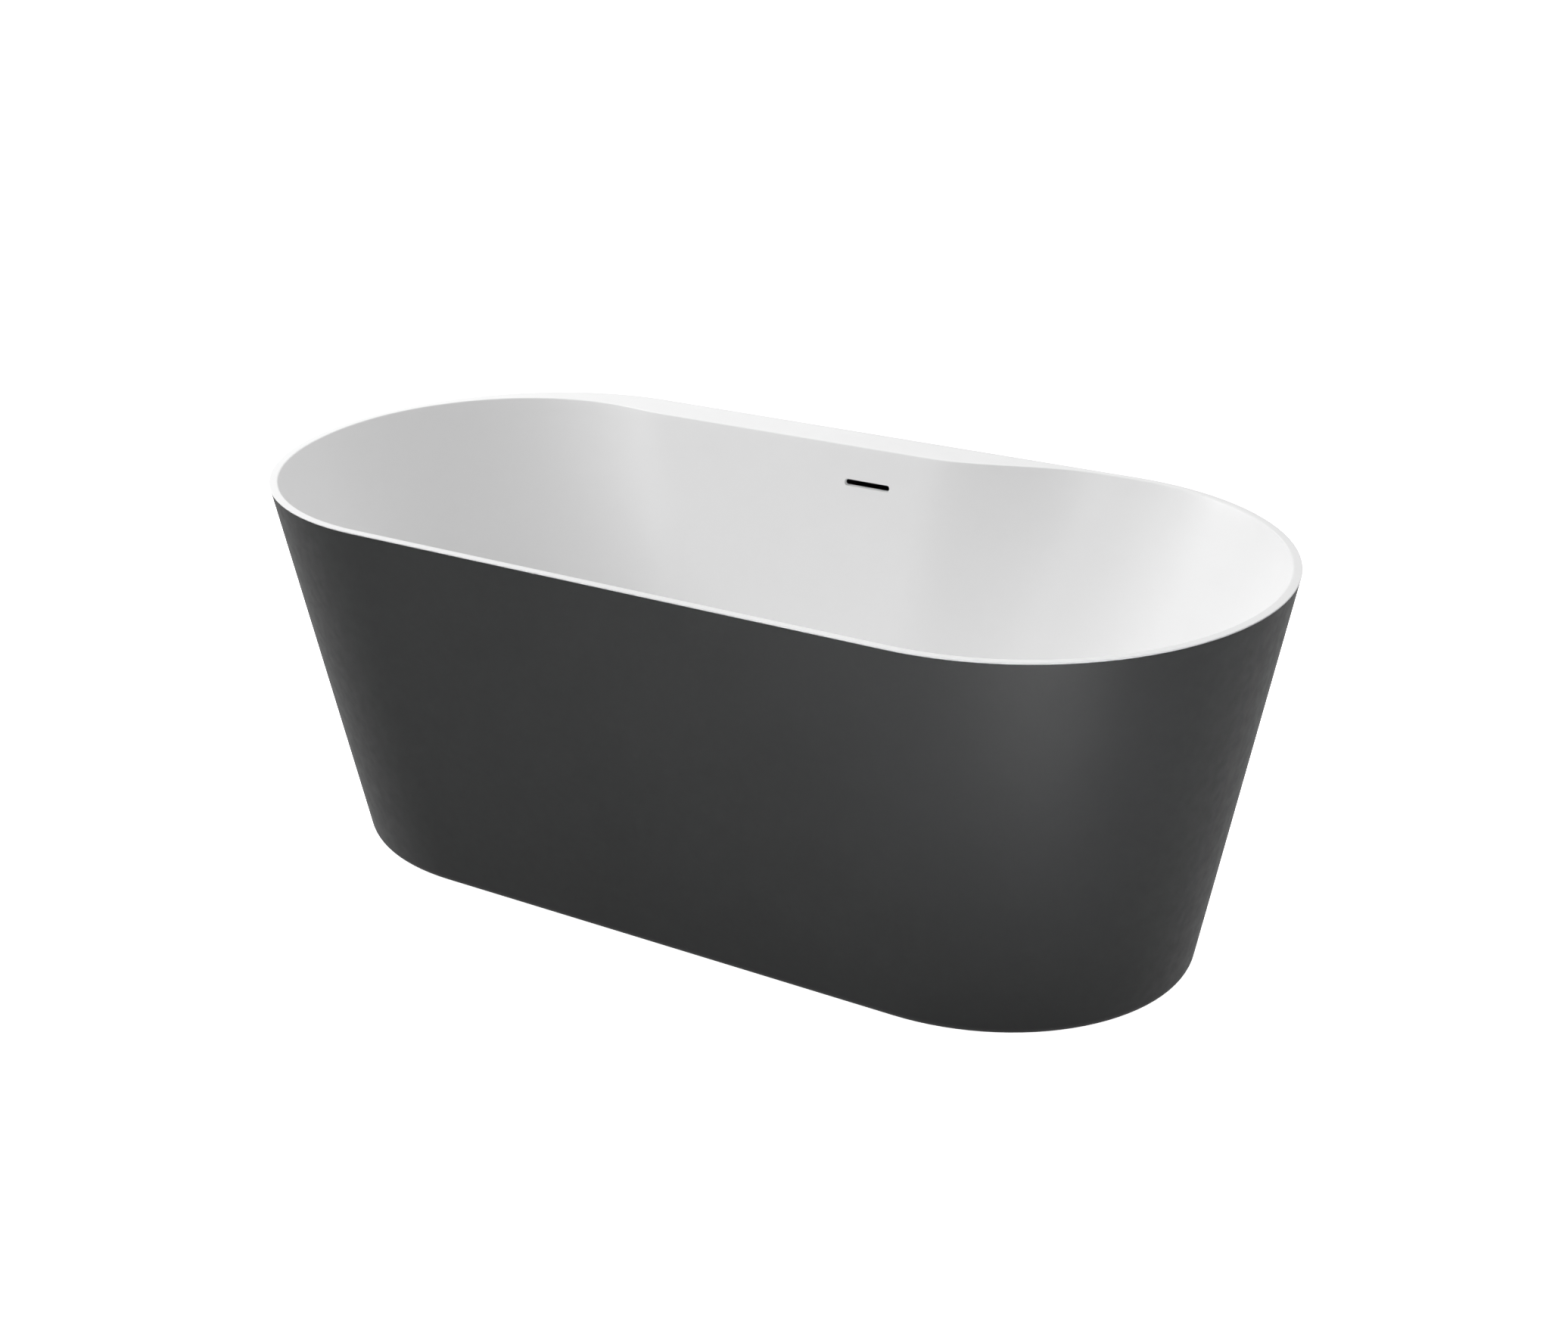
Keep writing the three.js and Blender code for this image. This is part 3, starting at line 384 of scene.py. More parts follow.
def make_shell():
    outer_top = shell_ring(HEIGHT - RIM_LIP - 3 * GAP, 0)
    inner_top = lifted(shell_ring(HEIGHT, SHELL_WALL), outer_top[0].z - SHELL_WALL)
    outer_corner = base_ring(FLOOR_GAP, 0)
    inner_corner = base_ring(FLOOR_GAP + SHELL_WALL, SHELL_WALL)
    inset = SHELL_FOOT + SHELL_RETURN
    foot_low = base_ring(FLOOR_GAP + SHELL_WALL, SHELL_FOOT)
    inner_wall_end = above(inner_corner, inner_top, SHELL_FOOT - SHELL_WALL)
    inner_foot = rounded(foot_low, inner_corner, inner_wall_end, 8)
    foot_top = above(outer_corner, outer_top, SHELL_FOOT)
    outer_foot = rounded(foot_top, outer_corner, base_ring(FLOOR_GAP, SHELL_FOOT), 14)
    rings = [base_ring(FLOOR_GAP + SHELL_WALL, inset)]
    rings += inner_foot
    rings += [between(inner_foot[-1], inner_top, i / 8) for i in range(1, 8)]
    rings += [inner_top, outer_top]
    rings += [between(outer_top, foot_top, i / 24) for i in range(1, 24)]
    rings += outer_foot
    rings.append(base_ring(FLOOR_GAP, inset))
    skin = skin_through(rings, closed=True)
    add_piece("shell_surface", skin, "anthracite_composite", "tub", "outer_shell")


# ---- Waste, plug and overflow ------------------------------------------------------------------


def make_overflow_trim():
    """A pressed chrome liner with a rolled front lip."""
    bore = SLOT_WALL * 2
    lip = 0.7
    steps = [
        (0, SLOT_BACK),
        (0, SLOT_FRONT + lip),
        (0.4, SLOT_FRONT + 0.2),
        (SLOT_WALL, SLOT_FRONT),
        (bore - 0.4, SLOT_FRONT + 0.2),
        (bore, SLOT_FRONT + lip),
        (bore, SLOT_BACK),
    ]
    rings = [slot_outline(SLOT_LENGTH - inset, SLOT_HEIGHT - inset, y) for inset, y in steps]
    add_piece("overflow_liner", skin_through(rings, closed=True), "chrome", "tub", "overflow_trim")


def make_plug():
    top = CAP_BOTTOM + CAP_HEIGHT
    shares = (0, 0.15, 0.3, 0.45, 0.6, 0.72, 0.82, 0.9)
    dome = [(CAP_RADIUS * share, top - 1.3 * share**2.4) for share in shares]
    rim = arc(CAP_RADIUS - 1.6, CAP_BOTTOM + 1.9, 1.6, 80, -70, 8)
    under = [(CAP_RADIUS - 2.5, CAP_BOTTOM), (8, CAP_BOTTOM), (8, CAP_BOTTOM - 6)]
    bore = [(4.3, CAP_BOTTOM - 6), (4.3, CAP_BOTTOM + 1.8), (0, CAP_BOTTOM + 1.8)]
    cap = turned(dome + rim + under + bore, 128, (PLUMBING_X, 0, 0))
    add_piece("plug_dome", cap, "chrome", "plug", "plug_cap")
    low = FLANGE_TOP + GAP
    seal = [(26.5, low), (29, low + 0.5), (29, low + 1.6), (26.8, low + 2)]
    add_piece("plug_ring", turned(seal, 96, (PLUMBING_X, 0, 0)), "rubber", "plug", "plug_seal")
    eased_copy("plug_stem", "zinced_steel", "plug", 0.4)


def make_flange():
    """A dished flange on a threaded tube, with four arms that carry the click cartridge."""
    low = FLANGE_TOP - FLANGE_DEPTH
    tube = [(THROAT, low), (THROAT + 1.4, low)]
    height = low + 0.8
    while height < FLANGE_LOW - 5:
        tube += [(THROAT + 1.4, height), (THROAT + 1.9, height + 0.75)]
        height += 1.5
    under = [(THROAT + 2, FLANGE_LOW - 4), (THROAT + 2, FLANGE_LOW), (FLANGE_RADIUS - 0.6, FLANGE_LOW)]
    rim = arc(FLANGE_RADIUS - 1.1, FLANGE_TOP - 1.1, 1.1, -40, 90, 7)
    dish = [(THROAT + 4.6, FLANGE_TOP), (THROAT + 3, FLANGE_TOP - 0.5), (THROAT + 1.2, FLANGE_TOP - 2)]
    dish += [(THROAT + 0.3, FLANGE_TOP - 3.4), (THROAT, FLANGE_TOP - 5)]
    place = (PLUMBING_X, 0, 0)
    bm = turned(tube + under + rim + dish, 96, place)
    piece = add_piece("dished_flange", bm, "chrome", "tub", "waste_flange", smooth_angle=35)
    ring = turned([(HUB, low), (HUB + 2, low), (HUB + 2, low + WEB), (HUB, low + WEB)], 48, place)
    arms = []
    for i in range(4):
        arm = bmesh.new()
        bmesh.ops.create_cube(arm, size=1)
        bmesh.ops.scale(arm, vec=Vector((THROAT - HUB, WEB / 2, WEB - 0.1)), verts=arm.verts)
        middle = Vector(((THROAT + HUB) / 2 + 1, 0, low + WEB / 2))
        bmesh.ops.translate(arm, vec=middle, verts=arm.verts)
        turn = Matrix.Rotation(math.pi / 2 * (i + 0.5), 4, "Z")
        bmesh.ops.transform(arm, matrix=Matrix.Translation(place) @ turn, verts=arm.verts)
        arms.append(arm)
    combine(piece, "UNION", [ring] + arms)


def make_seals():
    for node in ("flange_gasket", "body_gasket", "trap_gasket", "outlet_seal", "overflow_gasket"):
        eased_copy(node, "rubber", "tub", 0.3)
    eased_copy("click_cartridge", "white_plastic", "tub", 0.4)
    eased_copy("rim_bond", "adhesive", "tub", 1.2)


# ---- Frame and feet ----------------------------------------------------------------------------


def make_pad(place):
    """A moulded swivel foot with a ribbed sole and a stepped hub."""
    sole = [(0, 0.8)]
    for ring in range(4):
        inner = 4 + 6 * ring
        sole += [(inner, 0.8), (inner + 0.6, 0), (inner + 3.4, 0), (inner + 4, 0.8)]
    side = [(26.5, 0)] + arc(26.2, 1.8, 1.8, -70, 0, 3) + arc(26.6, 5, 1.4, 0, 70, 3)
    hub = [(20, 8.6), (15.5, 10), (12.6, 11.2)] + arc(11, 14.6, 1.4, 0, 90, 4)
    socket = [(7, 16), (6.3, 15.3), (6.3, 6), (0, 6)]
    x, y = FEET[place]
    bm = turned(sole + side + hub + socket, 64, (x, y, 0))
    name, body = "swivel_foot_" + place, "foot_" + place
    add_piece(name, bm, "black_plastic", body, "foot_pad_" + place, smooth_angle=35)


def make_stud(place):
    """A threaded stud, plain where it turns in the pad, with its hexagonal collar."""
    root = STUD_RADIUS - THREAD_DEPTH
    profile = [(0, STUD_LOW), (STUD_RADIUS - 0.8, STUD_LOW), (STUD_RADIUS, STUD_LOW + 1.2)]
    profile.append((STUD_RADIUS, THREAD_START - 0.4))
    height = THREAD_START
    while height + THREAD_PITCH < STUD_TOP - 1:
        profile += [(root, height), (STUD_RADIUS - 0.05, height + THREAD_PITCH / 2)]
        height += THREAD_PITCH
    profile += [(root, height), (root - 1, STUD_TOP), (0, STUD_TOP)]
    x, y = FEET[place]
    thread = turned(profile, 32)
    collar = bmesh.new()
    size = {"radius1": COLLAR_RADIUS, "radius2": COLLAR_RADIUS, "depth": COLLAR_TOP - COLLAR_LOW}
    bmesh.ops.create_cone(collar, cap_ends=True, segments=6, **size)
    bmesh.ops.bevel(collar, geom=collar.edges[:], offset=0.6, **ROUND_EDGE)
    turn = Matrix.Rotation(math.radians(30), 4, "Z")
    middle = Matrix.Translation((0, 0, (COLLAR_TOP + COLLAR_LOW) / 2))
    bmesh.ops.transform(collar, matrix=middle @ turn, verts=collar.verts)
    bm = joined(thread, collar)
    bmesh.ops.translate(bm, vec=Vector((x, y, 0)), verts=bm.verts)
    name, body = "threaded_" + place, "stud_" + place
    add_piece(name, bm, "zinced_steel", body, "foot_stud_" + place, smooth_angle=25)


def make_feet():
    for place in FEET:
        make_pad(place)
        make_stud(place)
        eased_copy("foot_nut_" + place, "zinced_steel", "tub", 0.5)
        eased_copy("lock_nut_" + place, "zinced_steel", "tub", 0.5)


def make_frame():
    for node in ("rail_back", "rail_front", "bar_left", "bar_right", "bar_middle"):
        eased_copy(node, "zinced_steel", "tub", 0.8)
    for place in list(FEET)[:4]:
        eased_copy("frame_screw_" + place, "zinced_steel", "tub", 0.6)
    eased_copy("base_board", "board", "tub", 0.8)
    for place in ("front_left", "front_right", "back_left", "back_right"):
        eased_copy("spacer_" + place, "foam", "tub", 1.0)


# ---- Trap and hose -----------------------------------------------------------------------------


def make_gripped_nut(name, profile, grip_radius, node, at, along="Z"):
    """A hand-tightened nut: a third of its side, in broad ribs, stands out."""
    bm = turned(profile, 72)
    ribs = []
    for face in bm.faces:
        middle = face.calc_center_median()
        step = round(math.degrees(math.atan2(middle.y, middle.x)) / 5 - 0.5)
        on_side = math.hypot(middle.x, middle.y) > grip_radius and abs(face.normal.z) < 0.3
        if on_side and step % 6 in (0, 1):
            ribs.append(face)
    drawn = bmesh.ops.extrude_face_region(bm, geom=ribs)["geom"]
    for vert in [item for item in drawn if isinstance(item, bmesh.types.BMVert)]:
        outward = Vector((vert.co.x, vert.co.y, 0)).normalized()
        vert.co += outward * GRIP_HEIGHT
    bmesh.ops.delete(bm, geom=[face for face in ribs if face.is_valid], context="FACES_ONLY")
    bmesh.ops.remove_doubles(bm, verts=bm.verts, dist=MERGE_DISTANCE)
    stand(bm, at, along)
    add_piece(name, bm, "white_plastic", "tub", node, smooth_angle=30)


def spline(points, steps):
    """A smooth centripetal curve through points in the plane across the tub's length."""
    ends = [2 * points[0] - points[1]] + points + [2 * points[-1] - points[-2]]
    path = []
    for four in zip(ends, ends[1:], ends[2:], ends[3:]):
        knots = [0]
        for a, b in zip(four, four[1:]):
            knots.append(knots[-1] + math.sqrt((b - a).length))

        def blend(a, b, low, high, place):
            return a.lerp(b, (place - knots[low]) / (knots[high] - knots[low]))

        for i in range(steps):
            t = knots[1] + (knots[2] - knots[1]) * i / steps
            first = [blend(four[n], four[n + 1], n, n + 1, t) for n in range(3)]
            second = [blend(first[n], first[n + 1], n, n + 2, t) for n in range(2)]
            path.append(blend(second[0], second[1], 1, 2, t))
    return path + [points[-1]]


def evenly(path, spacing):
    """Points and directions at even distances along a path."""
    places = []
    left = 0
    for a, b in zip(path, path[1:]):
        reach = (b - a).length
        while left < reach:
            places.append((a.lerp(b, left / reach), (b - a).normalized()))
            left += spacing
        left -= reach
    return places


def hose_ring(place, direction, radius):
    side = Vector((1, 0, 0))
    rise = direction.cross(side)
    ring = []
    for i in range(HOSE_SIDES):
        angle = 2 * math.pi * i / HOSE_SIDES
        ring.append(place + radius * (math.cos(angle) * side + math.sin(angle) * rise))
    return ring


def hose_route():
    def middle(z, shift=0):
        share = (z - FLOOR_GAP) / (HEIGHT - FLOOR_GAP)
        shell = (BASE_WIDTH + (WIDTH - BASE_WIDTH) * share) / 2 - SHELL_WALL
        return ((wall_back(z) + shell) / 2 + shift, z)

    top = [(HOUSING_Y, z) for z in (524, 512, 502, 490)]
    down = [middle(412), middle(311), middle(241)]
    under = [(middle(149, -32)[0], 141), (RAIL_Y + 52, 111)]
    under += [(RAIL_Y + 15, INLET_Z), (58, INLET_Z), (40, INLET_Z)]
    return spline([Vector((PLUMBING_X, y, z)) for y, z in top + down + under], 24)


def make_hose():
    """A corrugated hose, plain at both ends where the clamps hold it."""
    path = hose_route()
    places = evenly(path, CORRUGATION / 4)
    waves = (0, -0.55, -1.3, -0.55)
    rings = []
    for i, (place, direction) in enumerate(places):
        plain = min(i, len(places) - 1 - i) * CORRUGATION / 4 < HOSE_CUFF
        rings.append(hose_ring(place, direction, HOSE_RADIUS + (0 if plain else waves[i % 4])))
    inside = [hose_ring(place, direction, HOSE_BORE) for place, direction in places[::4] + places[-1:]]
    rings += inside[::-1]
    skin = skin_through(rings, closed=True)
    add_piece("corrugated_hose", skin, "black_plastic", "tub", "overflow_hose")


def make_trap():
    place = (PLUMBING_X, 0, 0)
    trap_nut = [(34.3, 64.6), (39.8, 64.6), (40.6, 65.6), (40.6, 84), (39.8, 85), (36.8, 85)]
    trap_nut += [(36.8, 69.6), (34.3, 69.6)]
    make_gripped_nut("trap_ring", trap_nut, 40.3, "trap_nut", place)
    outlet_nut = [(20.3, 70.6), (23.6, 70.6), (24.4, 71.4), (24.4, 91.8), (23.6, 92.6), (17.5, 92.6)]
    outlet_nut += [(17.5, 89.6), (20.3, 89.6)]
    make_gripped_nut("outlet_ring", outlet_nut, 24.2, "outlet_nut", (0, 0, OUTLET_Z), "X")
    for node in ("waste_body", "trap_cup"):
        eased_copy(node, "white_plastic", "tub", 0.6)
    eased_copy("overflow_housing", "black_plastic", "tub", 0.6)
    for node in ("overflow_screw_left", "overflow_screw_right", "hose_clamp_top", "hose_clamp_bottom"):
        eased_copy(node, "zinced_steel", "tub", 0.3)


# ---- Material nodes ----------------------------------------------------------------------------


def new_group(name, inputs, outputs):
    """An empty shader node group with float inputs {name: value} and outputs {name: socket kind}."""
    group = bpy.data.node_groups.new(name, "ShaderNodeTree")
    for label, value in inputs.items():
        socket = group.interface.new_socket(name=label, in_out="INPUT", socket_type="NodeSocketFloat")
        socket.default_value = value
    for label, kind in outputs.items():
        group.interface.new_socket(name=label, in_out="OUTPUT", socket_type=kind)
    return group, group.nodes.new("NodeGroupInput"), group.nodes.new("NodeGroupOutput")


def stretched_coords(group, given):
    """Object coordinates, with Y and Z multiplied by the group's Stretch input."""
    coords = group.nodes.new("ShaderNodeTexCoord")
    scale = group.nodes.new("ShaderNodeCombineXYZ")
    scale.inputs["X"].default_value = 1
    multiply = group.nodes.new("ShaderNodeVectorMath")
    multiply.operation = "MULTIPLY"
    group.links.new(given.outputs["Stretch"], scale.inputs["Y"])
    group.links.new(given.outputs["Stretch"], scale.inputs["Z"])
    group.links.new(coords.outputs["Object"], multiply.inputs[0])
    group.links.new(scale.outputs["Vector"], multiply.inputs[1])
    return multiply.outputs["Vector"]


def cloud_group():
    """Soft variation: noise spread between Low and High."""
    inputs = {"Scale": 5, "Detail": 3, "Stretch": 1, "From": 0.3, "To": 0.7, "Low": 0, "High": 1}
    group, given, result = new_group("soft_variation", inputs, {"Value": "NodeSocketFloat"})
    noise = group.nodes.new("ShaderNodeTexNoise")
    spread = group.nodes.new("ShaderNodeMapRange")
    group.links.new(stretched_coords(group, given), noise.inputs["Vector"])
    group.links.new(given.outputs["Scale"], noise.inputs["Scale"])
    group.links.new(given.outputs["Detail"], noise.inputs["Detail"])
    group.links.new(noise.outputs["Fac"], spread.inputs["Value"])
    ends = {"From": "From Min", "To": "From Max", "Low": "To Min", "High": "To Max"}
    for label, target in ends.items():
        group.links.new(given.outputs[label], spread.inputs[target])
    group.links.new(spread.outputs["Result"], result.inputs["Value"])
    return group


def grain_group():
    """Fine surface relief as a normal."""
    inputs = {"Scale": 500, "Detail": 2, "Stretch": 1, "Strength": 0.1, "Distance": 0.0003}
    group, given, result = new_group("surface_grain", inputs, {"Normal": "NodeSocketVector"})
    noise = group.nodes.new("ShaderNodeTexNoise")
    bump = group.nodes.new("ShaderNodeBump")
    group.links.new(stretched_coords(group, given), noise.inputs["Vector"])
    group.links.new(given.outputs["Scale"], noise.inputs["Scale"])
    group.links.new(given.outputs["Detail"], noise.inputs["Detail"])
    group.links.new(given.outputs["Strength"], bump.inputs["Strength"])
    group.links.new(given.outputs["Distance"], bump.inputs["Distance"])
    group.links.new(noise.outputs["Fac"], bump.inputs["Height"])
    group.links.new(bump.outputs["Normal"], result.inputs["Normal"])
    return group


def flake_group():
    """Cells of many tones: spangle, chips or foam, with the distance to each cell's middle."""
    inputs = {"Scale": 100, "Stretch": 1}
    outputs = {"Tone": "NodeSocketFloat", "Distance": "NodeSocketFloat"}
    group, given, result = new_group("flakes", inputs, outputs)
    cells = group.nodes.new("ShaderNodeTexVoronoi")
    tone = group.nodes.new("ShaderNodeRGBToBW")
    group.links.new(stretched_coords(group, given), cells.inputs["Vector"])
    group.links.new(given.outputs["Scale"], cells.inputs["Scale"])
    group.links.new(cells.outputs["Color"], tone.inputs["Color"])
    group.links.new(tone.outputs["Val"], result.inputs["Tone"])
    group.links.new(cells.outputs["Distance"], result.inputs["Distance"])
    return group


GROUPS = {"cloud": cloud_group(), "grain": grain_group(), "flakes": flake_group()}


class Recipe:
    """A material being made: its node tree, its shader and what feeds them."""

    def __init__(self, name, metallic=0.0, ior=1.5, specular=0.5):
        self.material = bpy.data.materials.new(name)
        self.material.use_nodes = True
        self.tree = self.material.node_tree
        self.shader = self.tree.nodes["Principled BSDF"]
        self.shader.inputs["Metallic"].default_value = metallic
        self.shader.inputs["IOR"].default_value = ior
        self.shader.inputs["Specular IOR Level"].default_value = specular

    def use(self, group, **values):
        made = self.tree.nodes.new("ShaderNodeGroup")
        made.node_tree = GROUPS[group]
        for label, value in values.items():
            made.inputs[label].default_value = value
        return made

    def cloud(self, scale, low=0.0, high=1.0, **values):
        return self.use("cloud", Scale=scale, Low=low, High=high, **values).outputs["Value"]

    def mixed(self, factor, colour_a, colour_b):
        made = self.tree.nodes.new("ShaderNodeMix")
        made.data_type = "RGBA"
        self.tree.links.new(factor, made.inputs["Factor"])
        for socket, colour in ((made.inputs[6], colour_a), (made.inputs[7], colour_b)):
            if isinstance(colour, tuple):
                socket.default_value = (*colour, 1)
            else:
                self.tree.links.new(colour, socket)
        return made.outputs[2]

    def feed(self, label, output):
        self.tree.links.new(output, self.shader.inputs[label])

    def grain(self, **values):
        self.feed("Normal", self.use("grain", **values).outputs["Normal"])

    def relief(self, height, strength, distance):
        bump = self.tree.nodes.new("ShaderNodeBump")
        bump.inputs["Strength"].default_value = strength
        bump.inputs["Distance"].default_value = distance
        self.tree.links.new(height, bump.inputs["Height"])
        self.feed("Normal", bump.outputs["Normal"])


def white_composite():
    """Cast mineral composite: very even, with faint clouds, fine mineral grain and a satin face."""
    r = Recipe("white_composite", ior=1.49, specular=0.4)
    base = r.mixed(r.cloud(3, Detail=4), (0.858, 0.858, 0.858), (0.884, 0.884, 0.885))
    specks = r.cloud(900, 0, 0.06, From=0.45, To=0.8, Detail=2)
    r.feed("Base Color", r.mixed(specks, base, (0.74, 0.74, 0.74)))
    r.feed("Roughness", r.cloud(45, 0.3, 0.4))
    r.grain(Scale=260, Strength=0.03, Distance=0.0004)
    return r.material


def anthracite_composite():
    """Dark through-coloured composite with a fine sprayed matt texture."""
    r = Recipe("anthracite_composite", ior=1.45, specular=0.22)
    base = r.mixed(r.cloud(4, Detail=4), (0.0262, 0.0268, 0.0272), (0.0288, 0.0295, 0.03))
    specks = r.cloud(1400, 0, 0.22, From=0.5, To=0.75, Detail=2)
    r.feed("Base Color", r.mixed(specks, base, (0.036, 0.037, 0.038)))
    r.feed("Roughness", r.cloud(60, 0.4, 0.48))
    r.grain(Scale=1100, Strength=0.06, Distance=0.0003)
    return r.material


def chrome():
    """Polished plating with faint wiping marks and a little waviness."""
    r = Recipe("chrome", metallic=1.0)
    r.feed("Base Color", r.mixed(r.cloud(30), (0.78, 0.79, 0.8), (0.86, 0.865, 0.87)))
    r.feed("Roughness", r.cloud(300, 0.05, 0.14, Stretch=6))
    r.grain(Scale=120, Strength=0.02, Distance=0.0002)
    return r.material


def zinced_steel():
    """Galvanised steel: dull spangles, drawn lines and rubbed patches."""
    r = Recipe("zinced_steel", metallic=1.0)
    spangle = r.mixed(r.use("flakes", Scale=120).outputs["Tone"], (0.42, 0.44, 0.46), (0.6, 0.62, 0.64))
    rubbed = r.cloud(25, 0, 0.5, From=0.5, To=0.75, Detail=5)
    r.feed("Base Color", r.mixed(rubbed, spangle, (0.34, 0.34, 0.34)))
    r.feed("Roughness", r.cloud(70, 0.3, 0.55, Stretch=5))
    r.grain(Scale=500, Strength=0.12, Distance=0.0003)
    return r.material


def rubber():
    """Moulded black rubber with a bloom of talc in its hollows."""
    r = Recipe("rubber", specular=0.35)
    bloom = r.cloud(60, 0, 0.5, From=0.5, To=0.8, Detail=5)
    r.feed("Base Color", r.mixed(bloom, (0.012, 0.012, 0.012), (0.045, 0.045, 0.046)))
    r.feed("Roughness", r.cloud(200, 0.7, 0.9))
    r.grain(Scale=700, Strength=0.3)
    return r.material


def black_plastic():
    """Injection-moulded black plastic with an eroded mould texture."""
    r = Recipe("black_plastic")
    r.feed("Base Color", r.mixed(r.cloud(14, Stretch=0.5), (0.014, 0.014, 0.015), (0.024, 0.024, 0.025)))
    r.feed("Roughness", r.cloud(120, 0.4, 0.58))
    r.grain(Scale=1100, Strength=0.22)
    return r.material


def white_plastic():
    """Off-white polypropylene fittings, waxy and slightly mottled."""
    r = Recipe("white_plastic")
    r.feed("Base Color", r.mixed(r.cloud(20), (0.69, 0.69, 0.66), (0.76, 0.76, 0.735)))
    r.feed("Roughness", r.cloud(90, 0.36, 0.5))
    r.grain(Scale=600, Strength=0.08)
    return r.material


def board():
    """Pressed flake board: overlapping long chips of several tones."""
    r = Recipe("board", specular=0.3)
    chips = r.use("flakes", Scale=26, Stretch=2.6)
    flakes = r.mixed(chips.outputs["Tone"], (0.33, 0.19, 0.085), (0.66, 0.44, 0.22))
    streaks = r.cloud(60, 0, 0.55, Stretch=12, Detail=5)
    r.feed("Base Color", r.mixed(streaks, flakes, (0.27, 0.15, 0.065)))
    r.feed("Roughness", r.cloud(80, 0.65, 0.85))
    r.relief(chips.outputs["Distance"], 0.35, 0.0012)
    return r.material


def foam():
    """Cut rigid foam with open cells."""
    r = Recipe("foam", specular=0.2)
    cells = r.use("flakes", Scale=420)
    r.feed("Base Color", r.mixed(cells.outputs["Distance"], (0.45, 0.38, 0.2), (0.7, 0.63, 0.38)))
    r.feed("Roughness", r.cloud(100, 0.85, 0.95))
    r.relief(cells.outputs["Distance"], 0.7, 0.001)
    return r.material


def adhesive():
    """A hand-run bead of elastic adhesive."""
    r = Recipe("adhesive")
    r.feed("Base Color", r.mixed(r.cloud(15, Detail=4), (0.6, 0.57, 0.49), (0.72, 0.69, 0.62)))
    r.feed("Roughness", r.cloud(60, 0.4, 0.62))
    r.grain(Scale=40, Detail=4, Strength=0.6, Distance=0.003)
    return r.material


MATERIALS = {
    "white_composite": white_composite(),
    "anthracite_composite": anthracite_composite(),
    "adhesive": adhesive(),
    "foam": foam(),
    "board": board(),
    "zinced_steel": zinced_steel(),
    "chrome": chrome(),
    "rubber": rubber(),
    "black_plastic": black_plastic(),
    "white_plastic": white_plastic(),
}


def finish_cad_nodes():
    for entry in frame["record"]["subparts"]:
        node = frame["nodes"][entry["node"]]
        node.data.materials.clear()
        node.data.materials.append(MATERIALS[entry["material_slot"]])


# ---- Stage, light and camera -------------------------------------------------------------------

WORLD_STRENGTH = 0.56
FLOOR_BOUNCE = (0.16, 0.16, 0.16)
FLOOR_GLOW = 0.52
FLOOR_CLEARANCE = 0.0005


def make_floor():
    """A pale floor, lit up for the viewer only, so that the tub isn't lit from below."""
    r = Recipe("studio_floor", specular=0.1)
    seen = r.tree.nodes.new("ShaderNodeLightPath").outputs["Is Camera Ray"]
    pale = r.mixed(r.cloud(2), (0.93, 0.93, 0.93), (0.95, 0.95, 0.95))
    r.feed("Base Color", r.mixed(seen, FLOOR_BOUNCE, pale))
    r.feed("Roughness", r.cloud(2, 0.85, 0.95))
    glow = r.tree.nodes.new("ShaderNodeMapRange")
    glow.inputs["To Min"].default_value = FLOOR_GLOW
    r.tree.links.new(seen, glow.inputs["Value"])
    r.shader.inputs["Emission Color"].default_value = (1, 1, 1, 1)
    r.feed("Emission Strength", glow.outputs["Result"])
    bm = bmesh.new()
    bmesh.ops.create_grid(bm, x_segments=1, y_segments=1, size=30)
    bmesh.ops.translate(bm, vec=Vector((0, 0, -FLOOR_CLEARANCE)), verts=bm.verts)
    mesh = bpy.data.meshes.new("studio_floor")
    bm.to_mesh(mesh)
    bm.free()
    mesh.materials.append(r.material)
    floor = bpy.data.objects.new("studio_floor", mesh)
    bpy.context.scene.collection.objects.link(floor)


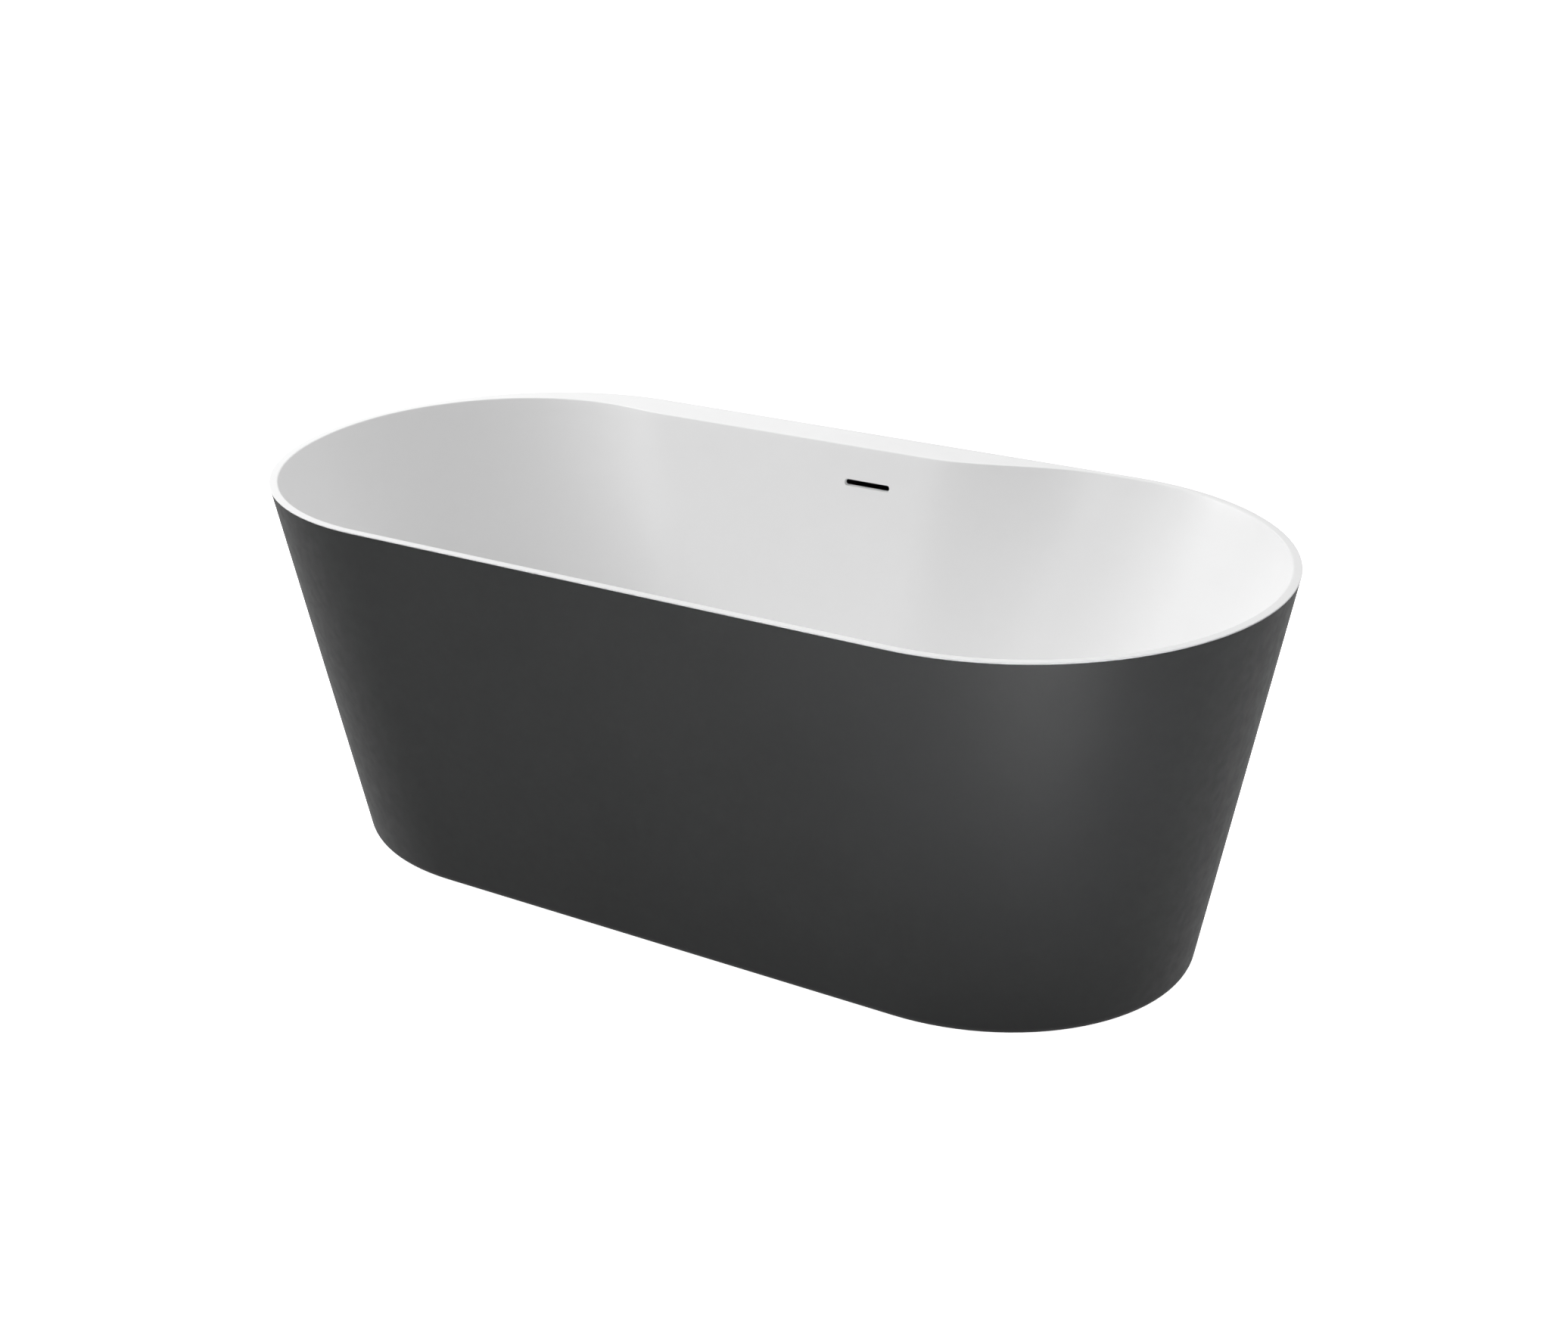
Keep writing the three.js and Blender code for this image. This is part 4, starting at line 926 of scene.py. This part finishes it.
def add_light(name, place_at, aim, size_x, size_y, watts, spread=180):
    data = bpy.data.lights.new(name, "AREA")
    data.shape = "RECTANGLE"
    data.size = size_x
    data.size_y = size_y
    data.energy = watts
    data.spread = math.radians(spread)
    light = bpy.data.objects.new(name, data)
    light.location = place_at
    light.rotation_euler = (Vector(aim) - Vector(place_at)).to_track_quat("-Z", "Y").to_euler()
    bpy.context.scene.collection.objects.link(light)


def light_studio():
    world = bpy.data.worlds.new("studio")
    world.use_nodes = True
    background = world.node_tree.nodes["Background"]
    background.inputs["Color"].default_value = (1, 1, 1, 1)
    background.inputs["Strength"].default_value = WORLD_STRENGTH
    bpy.context.scene.world = world
    bpy.context.scene.view_settings.view_transform = "Standard"
    add_light("key", (-3.0, -0.3, 2.9), (0.4, 0, 0.5), 2.0, 2.0, 92)
    add_light("back", (-0.6, 2.8, 2.6), (0, 0, 0.5), 2.4, 1.0, 20)
    add_light("floor_patch", (1.35, -1.15, 3.0), (1.35, -1.15, 0), 0.5, 0.5, 125, spread=26)
    add_light("front_wash", (0.5, -1.5, 3.0), (0.5, -1.5, 0), 1.5, 0.5, 66, spread=26)


CAMERA_PLACE = (1.61036, -2.61032, 1.61724)
CAMERA_YAW = -30.943
CAMERA_PITCH = 22.671
CAMERA_ROLL = -0.191
CAMERA_LENS = 50.54


def add_camera():
    yaw, pitch, roll = (math.radians(a) for a in (CAMERA_YAW, CAMERA_PITCH, CAMERA_ROLL))
    ahead = Vector((math.sin(yaw) * math.cos(pitch), math.cos(yaw) * math.cos(pitch), -math.sin(pitch)))
    side = Vector((math.cos(yaw), -math.sin(yaw), 0))
    rise = side.cross(ahead)
    turned_side = math.cos(roll) * side + math.sin(roll) * rise
    turned_rise = -math.sin(roll) * side + math.cos(roll) * rise
    data = bpy.data.cameras.new("camera")
    data.sensor_width = 36
    data.lens = CAMERA_LENS
    data.clip_end = 100
    camera = bpy.data.objects.new("camera", data)
    basis = Matrix((turned_side, turned_rise, -ahead)).transposed().to_4x4()
    camera.matrix_world = Matrix.Translation(CAMERA_PLACE) @ basis
    bpy.context.scene.collection.objects.link(camera)
    bpy.context.scene.camera = camera


add_camera()
make_floor()
light_studio()
finish_cad_nodes()
make_basin()
make_shell()
make_overflow_trim()
make_plug()
make_flange()
make_seals()
make_feet()
make_frame()
make_trap()
make_hose()
